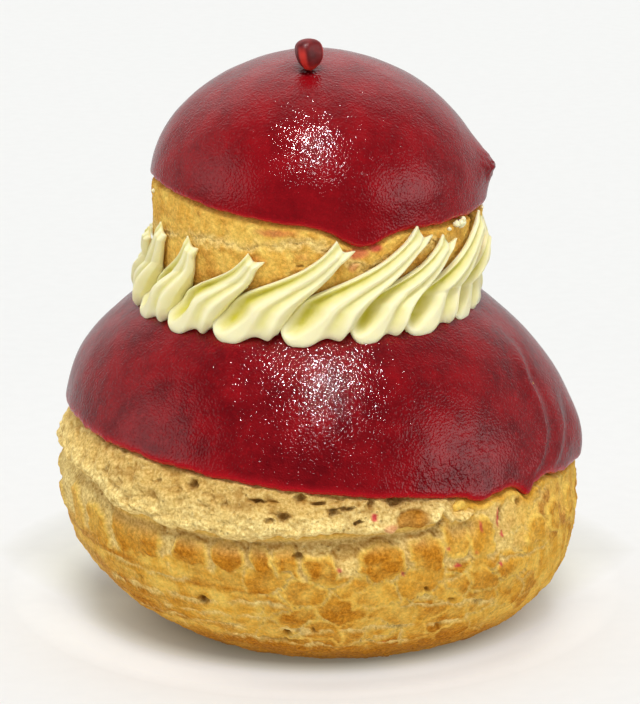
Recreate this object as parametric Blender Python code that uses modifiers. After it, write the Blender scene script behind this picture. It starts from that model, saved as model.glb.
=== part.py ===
"""Religieuse: a small choux bun on a large one, both capped with deep red glaze.

A collar of piped cream flames hides the joint between the buns, and one ruby
fruit seed stands on the very top.

Everything is in metres with +Z up.  The origin is the middle of the large bun
at the level of its flat foot.  Azimuth 0 is the front (-Y) and grows towards
the right (+X).
"""

import math
from typing import NamedTuple

import bmesh
import bpy
from mathutils import Vector

MM = 0.001
GAP = 0.3 * MM                  # clear space between neighbouring pieces
COVER_GAP = 0.45 * MM           # the same between a crust and its glaze


class Bun(NamedTuple):
    """A bun's outermost skin, glaze included."""

    radius: float               # at the widest ring, the waist
    waist: float                # height of the waist
    crown: float                # from the waist to the top
    belly: float                # from the waist to the rounded bottom
    crown_power: float          # 2 is an ellipse, more is squarer
    belly_power: float
    lean_up: float              # sideways shift of the top
    lean_down: float            # sideways shift of the bottom
    seat: float                 # height at which the top is pressed flat
    foot: float                 # height of the flat foot
    swells: tuple               # (size, number round the bun, phase) of each
    lumps: tuple                # (size, azimuth, height, spread) of each


LARGE = Bun(
    radius=37.7 * MM,
    waist=24.3 * MM,
    crown=33.8 * MM,
    belly=25.6 * MM,
    crown_power=2.05,
    belly_power=2.45,
    lean_up=-1.3 * MM,
    lean_down=4.0 * MM,
    seat=54.2 * MM,
    foot=0.0,
    swells=((0.12 * MM, 3, 0.0), (0.25 * MM, 4, 1.57), (0.15 * MM, 7, 0.6)),
    lumps=(
        (0.9 * MM, math.radians(86), 29.5 * MM, 5.0 * MM),
        (0.9 * MM, math.radians(-85), 13.5 * MM, 7.0 * MM),
    ),
)
SMALL = Bun(
    radius=23.7 * MM,
    waist=68.0 * MM,
    crown=18.1 * MM,
    belly=14.0 * MM,
    crown_power=1.82,
    belly_power=5.5,
    lean_up=-0.1 * MM,
    lean_down=0.0,
    seat=95.0 * MM,
    foot=54.7 * MM,
    swells=((0.20 * MM, 3, 0.4), (0.15 * MM, 5, 1.57)),
    lumps=(
        (1.2 * MM, math.radians(90), 69.6 * MM, 3.2 * MM),
        (0.8 * MM, math.radians(90), 66.0 * MM, 8.0 * MM),
    ),
)
SEAT_SOFTNESS = 0.8 * MM        # how gently the pressed top rounds over
CROWN_LEAN_SHARE = 0.75         # share of the lean reached where the collar lies
BUN_CLEARANCE = 0.8 * MM        # of the collar's points over the true curves of the buns

# Glaze caps
LARGE_GLAZE = 1.7 * MM          # thickness
SMALL_GLAZE = 1.6 * MM
LARGE_RIM = 30.4 * MM           # mean height of the large cap's edge
LARGE_RIM_TILT = 4.0 * MM       # the edge is this much higher on the left
LARGE_RIM_PITCH = 0.7 * MM      # and this much higher at the front
SMALL_RIM = 65.6 * MM
SMALL_RIM_TILT = 1.6 * MM
TONGUE_DROP = 2.8 * MM          # one run of glaze hangs lower at the front
TONGUE_AZIMUTH = math.radians(16)
TONGUE_WIDTH = math.radians(11)
RIM_ROUNDING = 0.5 * MM
CRUST_STEP = 2.6 * MM           # the crust swells out to the full width below the edge

# The crumbly cornice of the large bun, which overhangs the smoother crust below it
CORNICE = 25.2 * MM             # height of its lower edge
CORNICE_BULGE = 0.35 * MM
CORNICE_RECESS = 0.8 * MM       # depth of the groove under it
CORNICE_GROOVE = 1.4 * MM       # from the edge down to the middle of the groove
CORNICE_ROOM = 3.2 * MM         # least height between the glaze's edge and the cornice's
CORNICE_FADE = 2.5 * MM         # it dies out where the room grows less than this beyond

# Cream collar
FLAMES = 17
FLAME_FIRST = math.radians(-11)         # azimuth of the front flame's left corner
FLAME_LENGTH = math.radians(41)         # mean sweep from corner to tip
FLAME_BASE = 52.1 * MM                  # height of the corner
FLAME_RISE = 10.6 * MM                  # from the corner to the tip
FLAME_BASE_RADIUS = 23.3 * MM           # of the middle of the rope
FLAME_TIP_RADIUS = 24.7 * MM
FLAME_HALF_WIDTH = 3.3 * MM
FLAME_HALF_DEPTH = 2.7 * MM
FLAME_BEND = (0.36, 0.16)               # control point: share of the sweep, of the rise
FLAME_ROUND = 0.16                      # share of the length taken by the round start
FLAME_TAPER_FROM = 0.28                 # where the taper starts, and what it leaves
FLAME_TIP_SHARE = 0.22
FLAME_RIDGES = 6
FLAME_RIDGE = 0.13                      # height of a ridge, as a share of the half width
FLAME_TWIST = math.radians(50)
FLAME_RINGS = 9
FLAME_POINTS = 12
SEAM_SLOPE = math.radians(1.75) / MM    # turn of the seam between two flames, per height
COLLAR_SHIFT = -1.3 * MM                # the collar sits a little left of the axis
# How each flame differs from the mean: turn, longer sweep (degrees), rise (mm).
FLAME_HABITS = (
    (2.5, 5.0, 0.8), (3.5, -6.0, -0.6), (0.7, 1.0, 0.2), (3.3, -5.0, -0.6),
    (-1.0, 2.0, 0.6), (1.2, -2.0, -0.6), (0.0, 3.0, 0.2), (-1.4, -5.0, -1.0),
    (0.8, 2.0, 0.5), (0.0, -2.0, -0.4), (-0.8, -4.0, 0.2), (1.0, 0.0, -0.5),
    (3.0, -8.0, -0.6), (3.5, -9.0, -1.4), (6.9, -12.0, -1.8), (2.8, -8.0, -1.7),
    (0.6, -2.0, 0.8),
)

# Fruit seed
SEED_LENGTH = 4.6 * MM
SEED_RADIUS = 2.08 * MM
SEED_POINT = 0.55               # how far the lower end narrows
SEED_AZIMUTH = math.radians(-8.3)
SEED_POLAR = math.radians(20.9)
SEED_LEAN = math.radians(-9)    # to the left
SEED_SEGMENTS = 12
SEED_RINGS = 8

CRUST = ("golden_choux_crust", (0.62, 0.36, 0.11), 0.62)
GLAZE = ("deep_red_glaze", (0.25, 0.01, 0.015), 0.22)
CREAM = ("piped_butter_cream", (0.86, 0.80, 0.52), 0.45)
SEED = ("ruby_seed_flesh", (0.30, 0.01, 0.015), 0.15)


def start_scene():
    """Remove what the scene holds and return the collection for the pieces."""
    for old in list(bpy.data.objects):
        bpy.data.objects.remove(old)
    pieces = bpy.data.collections.new("religieuse")
    bpy.context.scene.collection.children.link(pieces)
    return pieces


def finish_material(finish):
    """Principled material from a (name, colour, roughness) triple, made once."""
    name, colour, roughness = finish
    material = bpy.data.materials.get(name)
    if material is None:
        material = bpy.data.materials.new(name)
        material.use_nodes = True
        shader = material.node_tree.nodes["Principled BSDF"]
        shader.inputs["Base Color"].default_value = (*colour, 1.0)
        shader.inputs["Roughness"].default_value = roughness
        shader.inputs["Metallic"].default_value = 0.0
    return material


def add_piece(pieces, name, bm, finish):
    """Turn a bmesh into a smooth-shaded object of the collection."""
    mesh = bpy.data.meshes.new(name)
    bm.to_mesh(mesh)
    bm.free()
    mesh.shade_smooth()
    mesh.materials.append(finish_material(finish))
    piece = bpy.data.objects.new(name, mesh)
    pieces.objects.link(piece)
    return piece


def smooth_step(value):
    """0 below 0, 1 above 1, and a smooth S between."""
    share = min(max(value, 0.0), 1.0)
    return share * share * (3.0 - 2.0 * share)


def meridian(bun, polar):
    """Radius, height over the waist and outward normal, `polar` radians from the top.

    The outline is a superellipse, |r/radius|^p + |h/height|^p = 1, with its own
    height and power above and below the waist.
    """
    height = bun.crown
    power = bun.crown_power
    if polar > math.pi / 2:
        height = bun.belly
        power = bun.belly_power
    across = math.sin(polar)
    along = math.cos(polar)
    reach = (across ** power + abs(along) ** power) ** (-1.0 / power)
    across *= reach
    along *= reach
    normal_out = across ** (power - 1.0) / bun.radius
    normal_up = math.copysign(abs(along) ** (power - 1.0) / height, along)
    normal = Vector((normal_out, normal_up)).normalized()
    return bun.radius * across, height * along, normal


def bun_point(bun, azimuth, polar, inset=0.0):
    """Point of a bun's skin, or of a layer `inset` below it.

    Swells and lumps push the skin in and out, the top is pressed down softly
    to the seat, and the whole leans sideways above and below the waist.
    """
    radius, rise, normal = meridian(bun, polar)
    bulge = sum(size * math.cos(count * azimuth + phase) for size, count, phase in bun.swells)
    bulge *= math.sin(polar) ** 2
    for size, middle, height, spread in bun.lumps:
        around = radius * math.remainder(azimuth - middle, 2.0 * math.pi)
        above = bun.waist + rise - height
        bulge += size * math.exp(-(around * around + above * above) / spread ** 2)
    radius += bulge
    spare = (bun.seat - bun.waist - rise) / SEAT_SOFTNESS
    if spare < 20.0:
        rise = bun.seat - bun.waist - SEAT_SOFTNESS * math.log1p(math.exp(spare))
    radius = max(radius - inset * normal.x, 0.0)
    rise -= inset * normal.y
    lean = bun.lean_up * rise / bun.crown
    if rise < 0.0:
        lean = -bun.lean_down * rise / bun.belly
    across = radius * math.sin(azimuth) + lean
    return Vector((across, -radius * math.cos(azimuth), bun.waist + rise))


def polar_at(bun, height):
    """Polar angle at which a bun's outline has this height."""
    rise = height - bun.waist
    share = rise / bun.crown if rise > 0.0 else rise / bun.belly
    power = bun.crown_power if rise > 0.0 else bun.belly_power
    across = (1.0 - abs(share) ** power) ** (1.0 / power)
    return math.atan2(across, share)


def large_rim(azimuth):
    """Height of the large glaze cap's edge."""
    tilt = LARGE_RIM_TILT * math.sin(azimuth)
    return LARGE_RIM - tilt + LARGE_RIM_PITCH * math.cos(azimuth)


def small_rim(azimuth):
    """Height of the small glaze cap's edge, with its hanging tongue."""
    away = (azimuth - TONGUE_AZIMUTH) / TONGUE_WIDTH
    tongue = TONGUE_DROP * math.exp(-away * away)
    return SMALL_RIM - SMALL_RIM_TILT * math.sin(azimuth) - tongue


def azimuth_of(point):
    return math.atan2(point.x, -point.y)


def cornice_stations(bun, azimuth):
    """Polar angle and inset of the rings that shape the cornice, top to bottom."""
    room = large_rim(azimuth) - CORNICE_ROOM
    boldness = smooth_step((room - CORNICE) / CORNICE_FADE + 0.5)
    height = min(CORNICE, room)
    edge = polar_at(bun, height)
    groove = polar_at(bun, height - CORNICE_GROOVE)
    below = polar_at(bun, height - 2.2 * CORNICE_GROOVE)
    return [
        (edge, -CORNICE_BULGE * boldness),
        (groove, CORNICE_RECESS * boldness),
        (below, 0.0),
    ]


def crust_stations(bun, azimuth, rim, cover, crown_rings, belly_rings, shaping):
    """Polar angle and inset of every ring of a crust, top to bottom.

    The rings under the glaze lie `cover` deep.  The next ring swells out to the
    full skin, then come the shaping rings, and the rest go down to the bottom.
    """
    edge = polar_at(bun, rim(azimuth) - COVER_GAP)
    stations = [(edge * ring / crown_rings, cover) for ring in range(crown_rings + 1)]
    stations.append((polar_at(bun, rim(azimuth) - CRUST_STEP), 0.0))
    stations += shaping(bun, azimuth)
    start = stations[-1][0]
    for ring in range(1, belly_rings + 1):
        stations.append((start + (math.pi - start) * ring / belly_rings, 0.0))
    return stations


def no_shaping(bun, azimuth):
    return []


def add_choux(pieces, name, bun, rim, cover, segments, crown_rings, belly_rings, shaping):
    """A crust: a sphere whose rings move to their stations, cut flat at the foot."""
    rings = len(crust_stations(bun, 0.0, rim, cover, crown_rings, belly_rings, shaping)) - 1
    bm = bmesh.new()
    bmesh.ops.create_uvsphere(bm, u_segments=segments, v_segments=rings, radius=1.0)
    for vert in bm.verts:
        azimuth = azimuth_of(vert.co)
        ring = round(math.acos(max(-1.0, min(1.0, vert.co.z))) / math.pi * rings)
        stations = crust_stations(bun, azimuth, rim, cover, crown_rings, belly_rings, shaping)
        polar, inset = stations[ring]
        vert.co = bun_point(bun, azimuth, polar, inset)
    everything = bm.verts[:] + bm.edges[:] + bm.faces[:]
    bmesh.ops.bisect_plane(
        bm, geom=everything, plane_co=(0.0, 0.0, bun.foot), plane_no=(0.0, 0.0, -1.0),
        clear_outer=True)
    open_edges = [edge for edge in bm.edges if edge.is_boundary]
    bmesh.ops.holes_fill(bm, edges=open_edges, sides=0)
    bmesh.ops.recalc_face_normals(bm, faces=bm.faces)
    return add_piece(pieces, name, bm, CRUST)


def add_glaze(pieces, name, bun, rim, thickness, segments, rings):
    """A glaze cap: the upper half of a sphere reshaped to an open dome, given a wall."""
    bm = bmesh.new()
    bmesh.ops.create_uvsphere(bm, u_segments=segments, v_segments=2 * rings, radius=1.0)
    lower = [vert for vert in bm.verts if vert.co.z < -0.5 / rings ** 2]
    bmesh.ops.delete(bm, geom=lower, context="VERTS")
    for vert in bm.verts:
        azimuth = azimuth_of(vert.co)
        share = math.acos(max(-1.0, min(1.0, vert.co.z))) / (math.pi / 2)
        vert.co = bun_point(bun, azimuth, polar_at(bun, rim(azimuth)) * share, thickness)
    cap = add_piece(pieces, name, bm, GLAZE)
    wall = cap.modifiers.new("wall", "SOLIDIFY")
    wall.thickness = thickness
    wall.offset = 1.0
    rounding = cap.modifiers.new("rounded_rim", "BEVEL")
    rounding.width = RIM_ROUNDING
    rounding.segments = 2
    rounding.limit_method = "ANGLE"
    rounding.angle_limit = math.radians(50)
    return cap


def crown_height(bun, across, ahead):
    """Height of a bun's crown over a point of the table."""
    leaning = across - bun.lean_up * CROWN_LEAN_SHARE
    share = min(math.hypot(leaning, ahead) / bun.radius, 1.0)
    rise = bun.crown * (1.0 - share ** bun.crown_power) ** (1.0 / bun.crown_power)
    return bun.waist + min(rise, bun.seat - bun.waist)


def belly_radius(bun, height):
    """Radius of a bun's belly at this height."""
    share = min(max((bun.waist - height) / bun.belly, 0.0), 1.0)
    return bun.radius * (1.0 - share ** bun.belly_power) ** (1.0 / bun.belly_power)


def clear_of_buns(point):
    """Lift a point of the collar off the large bun and push it out of the small one."""
    floor = crown_height(LARGE, point.x, point.y) + BUN_CLEARANCE
    height = max(point.z, floor)
    wall = belly_radius(SMALL, height) + BUN_CLEARANCE
    flat = Vector((point.x, point.y))
    if flat.length < wall:
        flat = flat.normalized() * wall
    return Vector((flat.x, flat.y, height))


def corner_of(number):
    """Azimuth of a flame's left corner; the number may run past the last flame."""
    turn = FLAME_HABITS[number % FLAMES][0]
    return FLAME_FIRST + 2.0 * math.pi * number / FLAMES + math.radians(turn)


def between_seams(point, number):
    """Keep a point of a flame between the seams that it shares with its neighbours.

    A seam rises straight from a flame's left corner, leaning to the right.
    """
    across = point.x - COLLAR_SHIFT
    radius = math.hypot(across, point.y)
    slant = SEAM_SLOPE * max(point.z - FLAME_BASE, 0.0)
    clearance = 0.8 * GAP / radius
    left = corner_of(number) + slant + clearance
    right = corner_of(number + 1) + slant - clearance
    middle = (left + right) / 2.0
    off = math.remainder(math.atan2(across, -point.y) - middle, 2.0 * math.pi)
    azimuth = middle + min(max(off, left - middle), right - middle)
    across = radius * math.sin(azimuth) + COLLAR_SHIFT
    return Vector((across, -radius * math.cos(azimuth), point.z))


def flame_spine(share, number):
    """Middle of the rope: a quadratic curve in azimuth and height, corner to tip."""
    longer, higher = FLAME_HABITS[number][1:]
    sweep = FLAME_LENGTH + math.radians(longer)
    rise = FLAME_RISE + higher * MM
    bend_along, bend_up = FLAME_BEND
    pull = 2.0 * share * (1.0 - share)
    azimuth = corner_of(number) + sweep * (pull * bend_along + share * share)
    height = FLAME_BASE + rise * (pull * bend_up + share * share)
    radius = FLAME_BASE_RADIUS + (FLAME_TIP_RADIUS - FLAME_BASE_RADIUS) * share
    across = radius * math.sin(azimuth) + COLLAR_SHIFT
    return Vector((across, -radius * math.cos(azimuth), height))


def flame_girth(share):
    """Size of the star section: a round start, then a long taper to the tip."""
    start = 1.0 - min(share / FLAME_ROUND, 1.0)
    rounded = math.sqrt(1.0 - 0.8 * start * start)
    taper = smooth_step((share - FLAME_TAPER_FROM) / (1.1 - FLAME_TAPER_FROM))
    return rounded * (1.0 - (1.0 - FLAME_TIP_SHARE) * taper)


def flame_section(share, number):
    """Points of the star section, across the spine, turned by the twist."""
    middle = flame_spine(share, number)
    along = flame_spine(share + 0.01, number) - flame_spine(share - 0.01, number)
    outward = Vector((middle.x, middle.y, 0.0)).normalized()
    sideways = along.normalized().cross(outward).normalized()
    outward = sideways.cross(along).normalized()
    girth = flame_girth(share)
    points = []
    for index in range(FLAME_POINTS):
        angle = 2.0 * math.pi * index / FLAME_POINTS
        star = girth * (1.0 + FLAME_RIDGE * math.cos(FLAME_RIDGES * angle))
        angle += FLAME_TWIST * share
        wide = sideways * (FLAME_HALF_WIDTH * star * math.cos(angle))
        deep = outward * (FLAME_HALF_DEPTH * star * math.sin(angle))
        seated = clear_of_buns(middle + wide + deep)
        points.append(between_seams(seated, number))
    return points


def add_flame(pieces, number):
    """One piped flame: star sections lofted along the spine, closed at both ends."""
    bm = bmesh.new()
    sections = []
    for ring in range(FLAME_RINGS):
        points = flame_section(ring / (FLAME_RINGS - 1), number)
        sections.append([bm.verts.new(point) for point in points])
    for lower, upper in zip(sections, sections[1:]):
        for index in range(FLAME_POINTS):
            after = (index + 1) % FLAME_POINTS
            bm.faces.new((lower[index], upper[index], upper[after], lower[after]))
    bm.faces.new(sections[0])
    bm.faces.new(reversed(sections[-1]))
    bmesh.ops.triangulate(bm, faces=bm.faces)
    return add_piece(pieces, f"cream_flame_{number + 1:02d}", bm, CREAM)


def add_seed(pieces):
    """The fruit seed: a sphere drawn out to a blunt top and a narrow lower end."""
    bm = bmesh.new()
    bmesh.ops.create_uvsphere(
        bm, u_segments=SEED_SEGMENTS, v_segments=SEED_RINGS, radius=1.0)
    for vert in bm.verts:
        narrow = 1.0 - SEED_POINT * smooth_step((0.55 - vert.co.z) / 1.55)
        vert.co.x *= SEED_RADIUS * narrow
        vert.co.y *= SEED_RADIUS * narrow * 0.85
        vert.co.z *= SEED_LENGTH / 2.0
    seed = add_piece(pieces, "fruit_seed", bm, SEED)
    rest = bun_point(SMALL, SEED_AZIMUTH, SEED_POLAR)
    seed.rotation_euler = (0.0, SEED_LEAN, 0.0)
    seed.location = rest + Vector((0.0, 0.0, SEED_LENGTH / 2.0 + GAP))
    return seed


def build():
    pieces = start_scene()
    large_cover = LARGE_GLAZE + COVER_GAP
    add_choux(pieces, "lower_choux", LARGE, large_rim, large_cover, 44, 8, 8, cornice_stations)
    add_glaze(pieces, "lower_glaze", LARGE, large_rim, LARGE_GLAZE, 44, 8)
    small_cover = SMALL_GLAZE + COVER_GAP
    add_choux(pieces, "upper_choux", SMALL, small_rim, small_cover, 36, 7, 6, no_shaping)
    add_glaze(pieces, "upper_glaze", SMALL, small_rim, SMALL_GLAZE, 36, 7)
    for number in range(FLAMES):
        add_flame(pieces, number)
    add_seed(pieces)


build()
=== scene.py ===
"""Religieuse: a small choux bun on a large one, both under poured red glaze.

A collar of piped butter cream hides the joint and one ruby fruit seed stands on top.

Shapes are worked out in millimetres and degrees and turned to metres when a mesh is
made.  The origin is the middle of the large bun at the level of its flat foot.
Azimuth 0 is the front (-Y) and grows to the right (+X), so it runs anticlockwise from
above.
"""

import math
from typing import NamedTuple

import bpy
import numpy as np
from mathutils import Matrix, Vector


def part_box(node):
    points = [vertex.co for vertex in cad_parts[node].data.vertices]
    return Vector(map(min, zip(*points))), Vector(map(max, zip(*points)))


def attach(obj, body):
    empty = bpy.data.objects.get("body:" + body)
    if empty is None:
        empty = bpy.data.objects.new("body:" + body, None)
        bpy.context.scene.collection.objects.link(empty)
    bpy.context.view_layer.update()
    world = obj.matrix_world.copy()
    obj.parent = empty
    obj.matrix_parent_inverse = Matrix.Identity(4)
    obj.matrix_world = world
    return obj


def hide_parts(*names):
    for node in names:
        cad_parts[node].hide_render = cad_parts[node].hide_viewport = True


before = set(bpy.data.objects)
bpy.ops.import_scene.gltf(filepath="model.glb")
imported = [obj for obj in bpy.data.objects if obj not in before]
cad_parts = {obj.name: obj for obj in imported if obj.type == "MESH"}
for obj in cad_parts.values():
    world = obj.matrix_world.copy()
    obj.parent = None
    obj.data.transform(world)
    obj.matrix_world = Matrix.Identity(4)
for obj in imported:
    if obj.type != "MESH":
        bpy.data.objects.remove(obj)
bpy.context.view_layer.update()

MM = 0.001
TURN = 2.0 * math.pi


# ---------------- sizes of the object

class Bun(NamedTuple):
    """A bun's outermost skin, glaze included; lengths in mm."""

    radius: float               # at the widest ring, the waist
    waist: float                # height of the waist
    crown: float                # from the waist to the top
    belly: float                # from the waist to the rounded bottom
    crown_power: float          # 2 is an ellipse, more is squarer
    belly_power: float
    lean_up: float              # sideways shift of the top
    lean_down: float            # sideways shift of the bottom
    seat: float                 # height at which the top is pressed flat
    foot: float                 # height of the flat foot
    swells: tuple               # (size, number round the bun, phase) of each
    lumps: tuple                # (size, azimuth, height, spread) of each


LARGE = Bun(
    radius=37.7, waist=24.3, crown=33.8, belly=25.6, crown_power=2.05, belly_power=2.45,
    lean_up=-1.3, lean_down=4.0, seat=54.2, foot=0.0,
    swells=((0.12, 3, 0.0), (0.25, 4, 1.57), (0.15, 7, 0.6)),
    lumps=((0.9, 86.0, 29.5, 5.0), (0.9, -85.0, 13.5, 7.0)),
)
SMALL = Bun(
    radius=23.7, waist=68.0, crown=18.1, belly=15.4, crown_power=1.82, belly_power=8.0,
    lean_up=-0.1, lean_down=0.0, seat=95.0, foot=53.3,
    swells=((0.20, 3, 0.4), (0.15, 5, 1.57)),
    lumps=((1.2, 90.0, 69.6, 3.2), (0.8, 90.0, 66.0, 8.0)),
)
SEAT_SOFTNESS = 0.8             # how gently the top is pressed flat

LARGE_GLAZE = 1.7               # thickness of the caps
SMALL_GLAZE = 1.6
# Drips and lifts of the caps' edges: rise (mm), azimuth and width (degrees).  The first
# of the small cap's is the tongue that hangs down in front.
LARGE_DRIPS = (
    (-0.9, 39.0, 3.2), (-1.3, 53.5, 1.7), (0.5, 48.0, 2.2), (0.9, 62.0, 5.0),
    (-0.9, 150.0, 6.0), (-0.7, -148.0, 8.0),
)
SMALL_DRIPS = ((-2.8, 16.0, 11.0), (-0.5, 45.0, 14.0), (1.0, -70.0, 30.0), (-1.1, 170.0, 12.0))

# The painted fields that the materials read.
CRUST_FIELDS = ("browning_and_shade", "rim", "crumb", "shade", "hollow", "stain")
GLAZE_FIELDS = ("thin", "seed_shadow", "ripple")


# ---------------- numbers and noise

def ramp(value, start, end):
    """0 up to `start`, 1 from `end` on, and a smooth S between: 3s^2 - 2s^3."""
    share = np.clip((value - start) / (end - start), 0.0, 1.0)
    return share * share * (3.0 - 2.0 * share)


def bump_at(value, middle, width):
    """A bell, 1 at the middle: exp(-((value - middle) / width)^2)."""
    return np.exp(-((value - middle) / width) ** 2)


def eased(value, places, levels):
    """Levels reached at rising places, joined by the smooth S of `ramp`."""
    total = levels[0]
    for start, end, before, after in zip(places, places[1:], levels, levels[1:]):
        total = total + (after - before) * ramp(value, start, end)
    return total


def turned(azimuth, middle):
    """Degrees from `middle` to each azimuth, the short way round."""
    return (azimuth - middle + 180.0) % 360.0 - 180.0


def bell_round(azimuth, middle, width):
    """The bell of `bump_at` in degrees round a bun."""
    return bump_at(turned(azimuth, middle), 0.0, width)


def scrambled(x, y, z, seed):
    """A number from 0 to 1 for each whole-number triple, mixed so that it looks random."""
    mixed = (x * 73856093) ^ (y * 19349663) ^ (z * 83492791) ^ (seed * 2654435761)
    mixed = mixed & 0xFFFFFFFF
    mixed = ((mixed ^ (mixed >> 15)) * 739982445) & 0xFFFFFFFF
    mixed = ((mixed ^ (mixed >> 12)) * 695872825) & 0xFFFFFFFF
    return (mixed ^ (mixed >> 15)) / 4294967295.0


def soft_noise(points, size, seed):
    """Random numbers on a lattice `size` mm apart, blended by a smooth S; -1 to 1."""
    scaled = points / size
    corner = np.floor(scaled)
    share = scaled - corner
    share = share * share * (3.0 - 2.0 * share)
    corner = corner.astype(np.int64)
    total = 0.0
    for step in np.ndindex(2, 2, 2):
        weight = np.prod(np.abs(1 - np.array(step) - share), axis=-1)
        x, y, z = (corner[..., axis] + step[axis] for axis in range(3))
        total = total + weight * scrambled(x, y, z, seed)
    return 2.0 * total - 1.0


def layered_noise(points, size, seed, layers=3):
    """Sum of soft noises, each half the size and 0.55 of the strength of the last."""
    total = 0.0
    strength = 1.0
    for layer in range(layers):
        total = total + strength * soft_noise(points, size / 2.0 ** layer, seed + layer)
        strength *= 0.55
    return total


def noises(points, *kinds):
    """Layered noises, one for each size and seed."""
    return [layered_noise(points, size, seed) for size, seed in kinds]


def scattered_cells(across, up, columns, seed):
    """Distances to the nearest and second nearest of scattered centres, and the nearest's number.

    One centre lies in each unit square, moved by up to 0.4 either way; the squares
    repeat after `columns`, so the pattern closes round the bun.
    """
    column = np.floor(across).astype(np.int64)
    row = np.floor(up).astype(np.int64)
    nearest = np.full(across.shape, 9.0)
    second = np.full(across.shape, 9.0)
    mark = np.zeros(across.shape)
    for place in np.ndindex(3, 3):
        side = column + place[0] - 1
        level = row + place[1] - 1
        chance = [scrambled(side % columns, level, kind, seed) for kind in (1, 2, 3)]
        away = np.hypot(across - side - 0.1 - 0.8 * chance[0], up - level - 0.1 - 0.8 * chance[1])
        closer = away < nearest
        second = np.where(closer, nearest, np.minimum(second, away))
        mark = np.where(closer, chance[2], mark)
        nearest = np.where(closer, away, nearest)
    return nearest, second, mark


# ---------------- the buns' outlines

def polar_at(bun, height):
    """Angle from the top at which a bun's outline has this height, in radians."""
    rise = height - bun.waist
    above = rise > 0.0
    share = np.where(above, rise / bun.crown, rise / bun.belly)
    power = np.where(above, bun.crown_power, bun.belly_power)
    across = np.maximum(1.0 - np.abs(share) ** power, 0.0) ** (1.0 / power)
    return np.arctan2(across, share)


def bun_skin(bun, azimuth, polar, out=0.0):
    """Points of a bun's skin, moved `out` along its normal; azimuth in degrees.

    The outline is a superellipse, |r/radius|^p + |h/height|^p = 1.  Swells and lumps
    push it out, the top is pressed softly down to the seat, and the whole leans
    sideways above and below the waist.
    """
    below = polar > math.pi / 2.0
    height = np.where(below, bun.belly, bun.crown)
    power = np.where(below, bun.belly_power, bun.crown_power)
    across = np.abs(np.sin(polar))
    along = np.cos(polar)
    reach = (across ** power + np.abs(along) ** power) ** (-1.0 / power)
    across = across * reach
    along = along * reach
    normal_out = across ** (power - 1.0) / bun.radius
    normal_up = np.sign(along) * np.abs(along) ** (power - 1.0) / height
    length = np.hypot(normal_out, normal_up)
    radius = bun.radius * across
    rise = height * along
    angle = np.radians(azimuth)
    bulge = sum(size * np.cos(count * angle + phase) for size, count, phase in bun.swells)
    bulge = bulge * np.sin(polar) ** 2
    for size, middle, level, spread in bun.lumps:
        around = radius * np.radians(turned(azimuth, middle))
        bulge = bulge + size * np.exp(-(around ** 2 + (bun.waist + rise - level) ** 2) / spread ** 2)
    spare = (bun.seat - bun.waist - rise) / SEAT_SOFTNESS
    pressed = bun.seat - bun.waist - SEAT_SOFTNESS * np.log1p(np.exp(np.minimum(spare, 30.0)))
    rise = np.where(spare < 30.0, pressed, rise)
    radius = np.maximum(radius + bulge + out * normal_out / length, 0.0)
    rise = rise + out * normal_up / length
    lean = np.where(rise < 0.0, -bun.lean_down * rise / bun.belly, bun.lean_up * rise / bun.crown)
    x = radius * np.sin(angle) + lean
    y = -radius * np.cos(angle)
    return np.stack(np.broadcast_arrays(x, y, bun.waist + rise), axis=-1)


def with_drips(level, azimuth, drips):
    """An edge's height with the bells of its drips and lifts added."""
    for rise, middle, width in drips:
        level = level + rise * bell_round(azimuth, middle, width)
    return level


def large_rim(azimuth):
    """Height of the large cap's edge: 4 mm lower on the right, 4 mm higher on the left, with drips."""
    angle = np.radians(azimuth)
    return with_drips(30.4 - 4.0 * np.sin(angle) + 0.7 * np.cos(angle), azimuth, LARGE_DRIPS)


def small_rim(azimuth):
    """Height of the small cap's edge: 1.6 mm lower on the right, with the tongue in front."""
    return with_drips(65.6 - 1.6 * np.sin(np.radians(azimuth)), azimuth, SMALL_DRIPS)


def arc_of(bun):
    """Millimetres to a degree round a bun's waist."""
    return bun.radius * math.pi / 180.0


def ring_of(azimuth, radius, height):
    """Points of circles round the axis, from azimuths, radii and heights."""
    angle = np.radians(azimuth)
    x = radius * np.sin(angle)
    y = -radius * np.cos(angle)
    return np.stack(np.broadcast_arrays(x, y, np.asarray(height, float)), axis=-1)


# ---------------- making meshes

def make_piece(name, points, faces, material, stands_for=(), fields=None):
    """A smooth-shaded mesh at the origin, from points in mm and arrays of corner numbers."""
    mesh = bpy.data.meshes.new(name)
    corners = np.concatenate([part.ravel() for part in faces])
    sizes = np.concatenate([np.full(len(part), part.shape[1]) for part in faces])
    starts = np.concatenate([[0], np.cumsum(sizes)[:-1]])
    mesh.vertices.add(len(points))
    mesh.vertices.foreach_set("co", (points * MM).astype(np.float32).ravel())
    mesh.loops.add(len(corners))
    mesh.loops.foreach_set("vertex_index", corners.astype(np.int32))
    mesh.polygons.add(len(sizes))
    mesh.polygons.foreach_set("loop_start", starts.astype(np.int32))
    mesh.update(calc_edges=True)
    mesh.validate()
    for field, values in (fields or {}).items():
        layer = mesh.attributes.new(field, "FLOAT", "POINT")
        layer.data.foreach_set("value", values.astype(np.float32).ravel())
    mesh.shade_smooth()
    mesh.materials.append(material)
    piece = bpy.data.objects.new(name, mesh)
    bpy.context.scene.collection.objects.link(piece)
    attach(piece, "root")
    if stands_for:
        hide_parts(*stands_for)
    return piece


def wrapped_faces(rows, columns, first=0):
    """Quads between closed rings that run downwards, each ring anticlockwise from above."""
    row = np.arange(rows - 1)[:, None]
    column = np.arange(columns)[None, :]
    after = (column + 1) % columns
    upper = first + row * columns
    quads = np.stack([upper + column, upper + columns + column,
                      upper + columns + after, upper + after], axis=-1)
    return quads.reshape(-1, 4)


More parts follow.
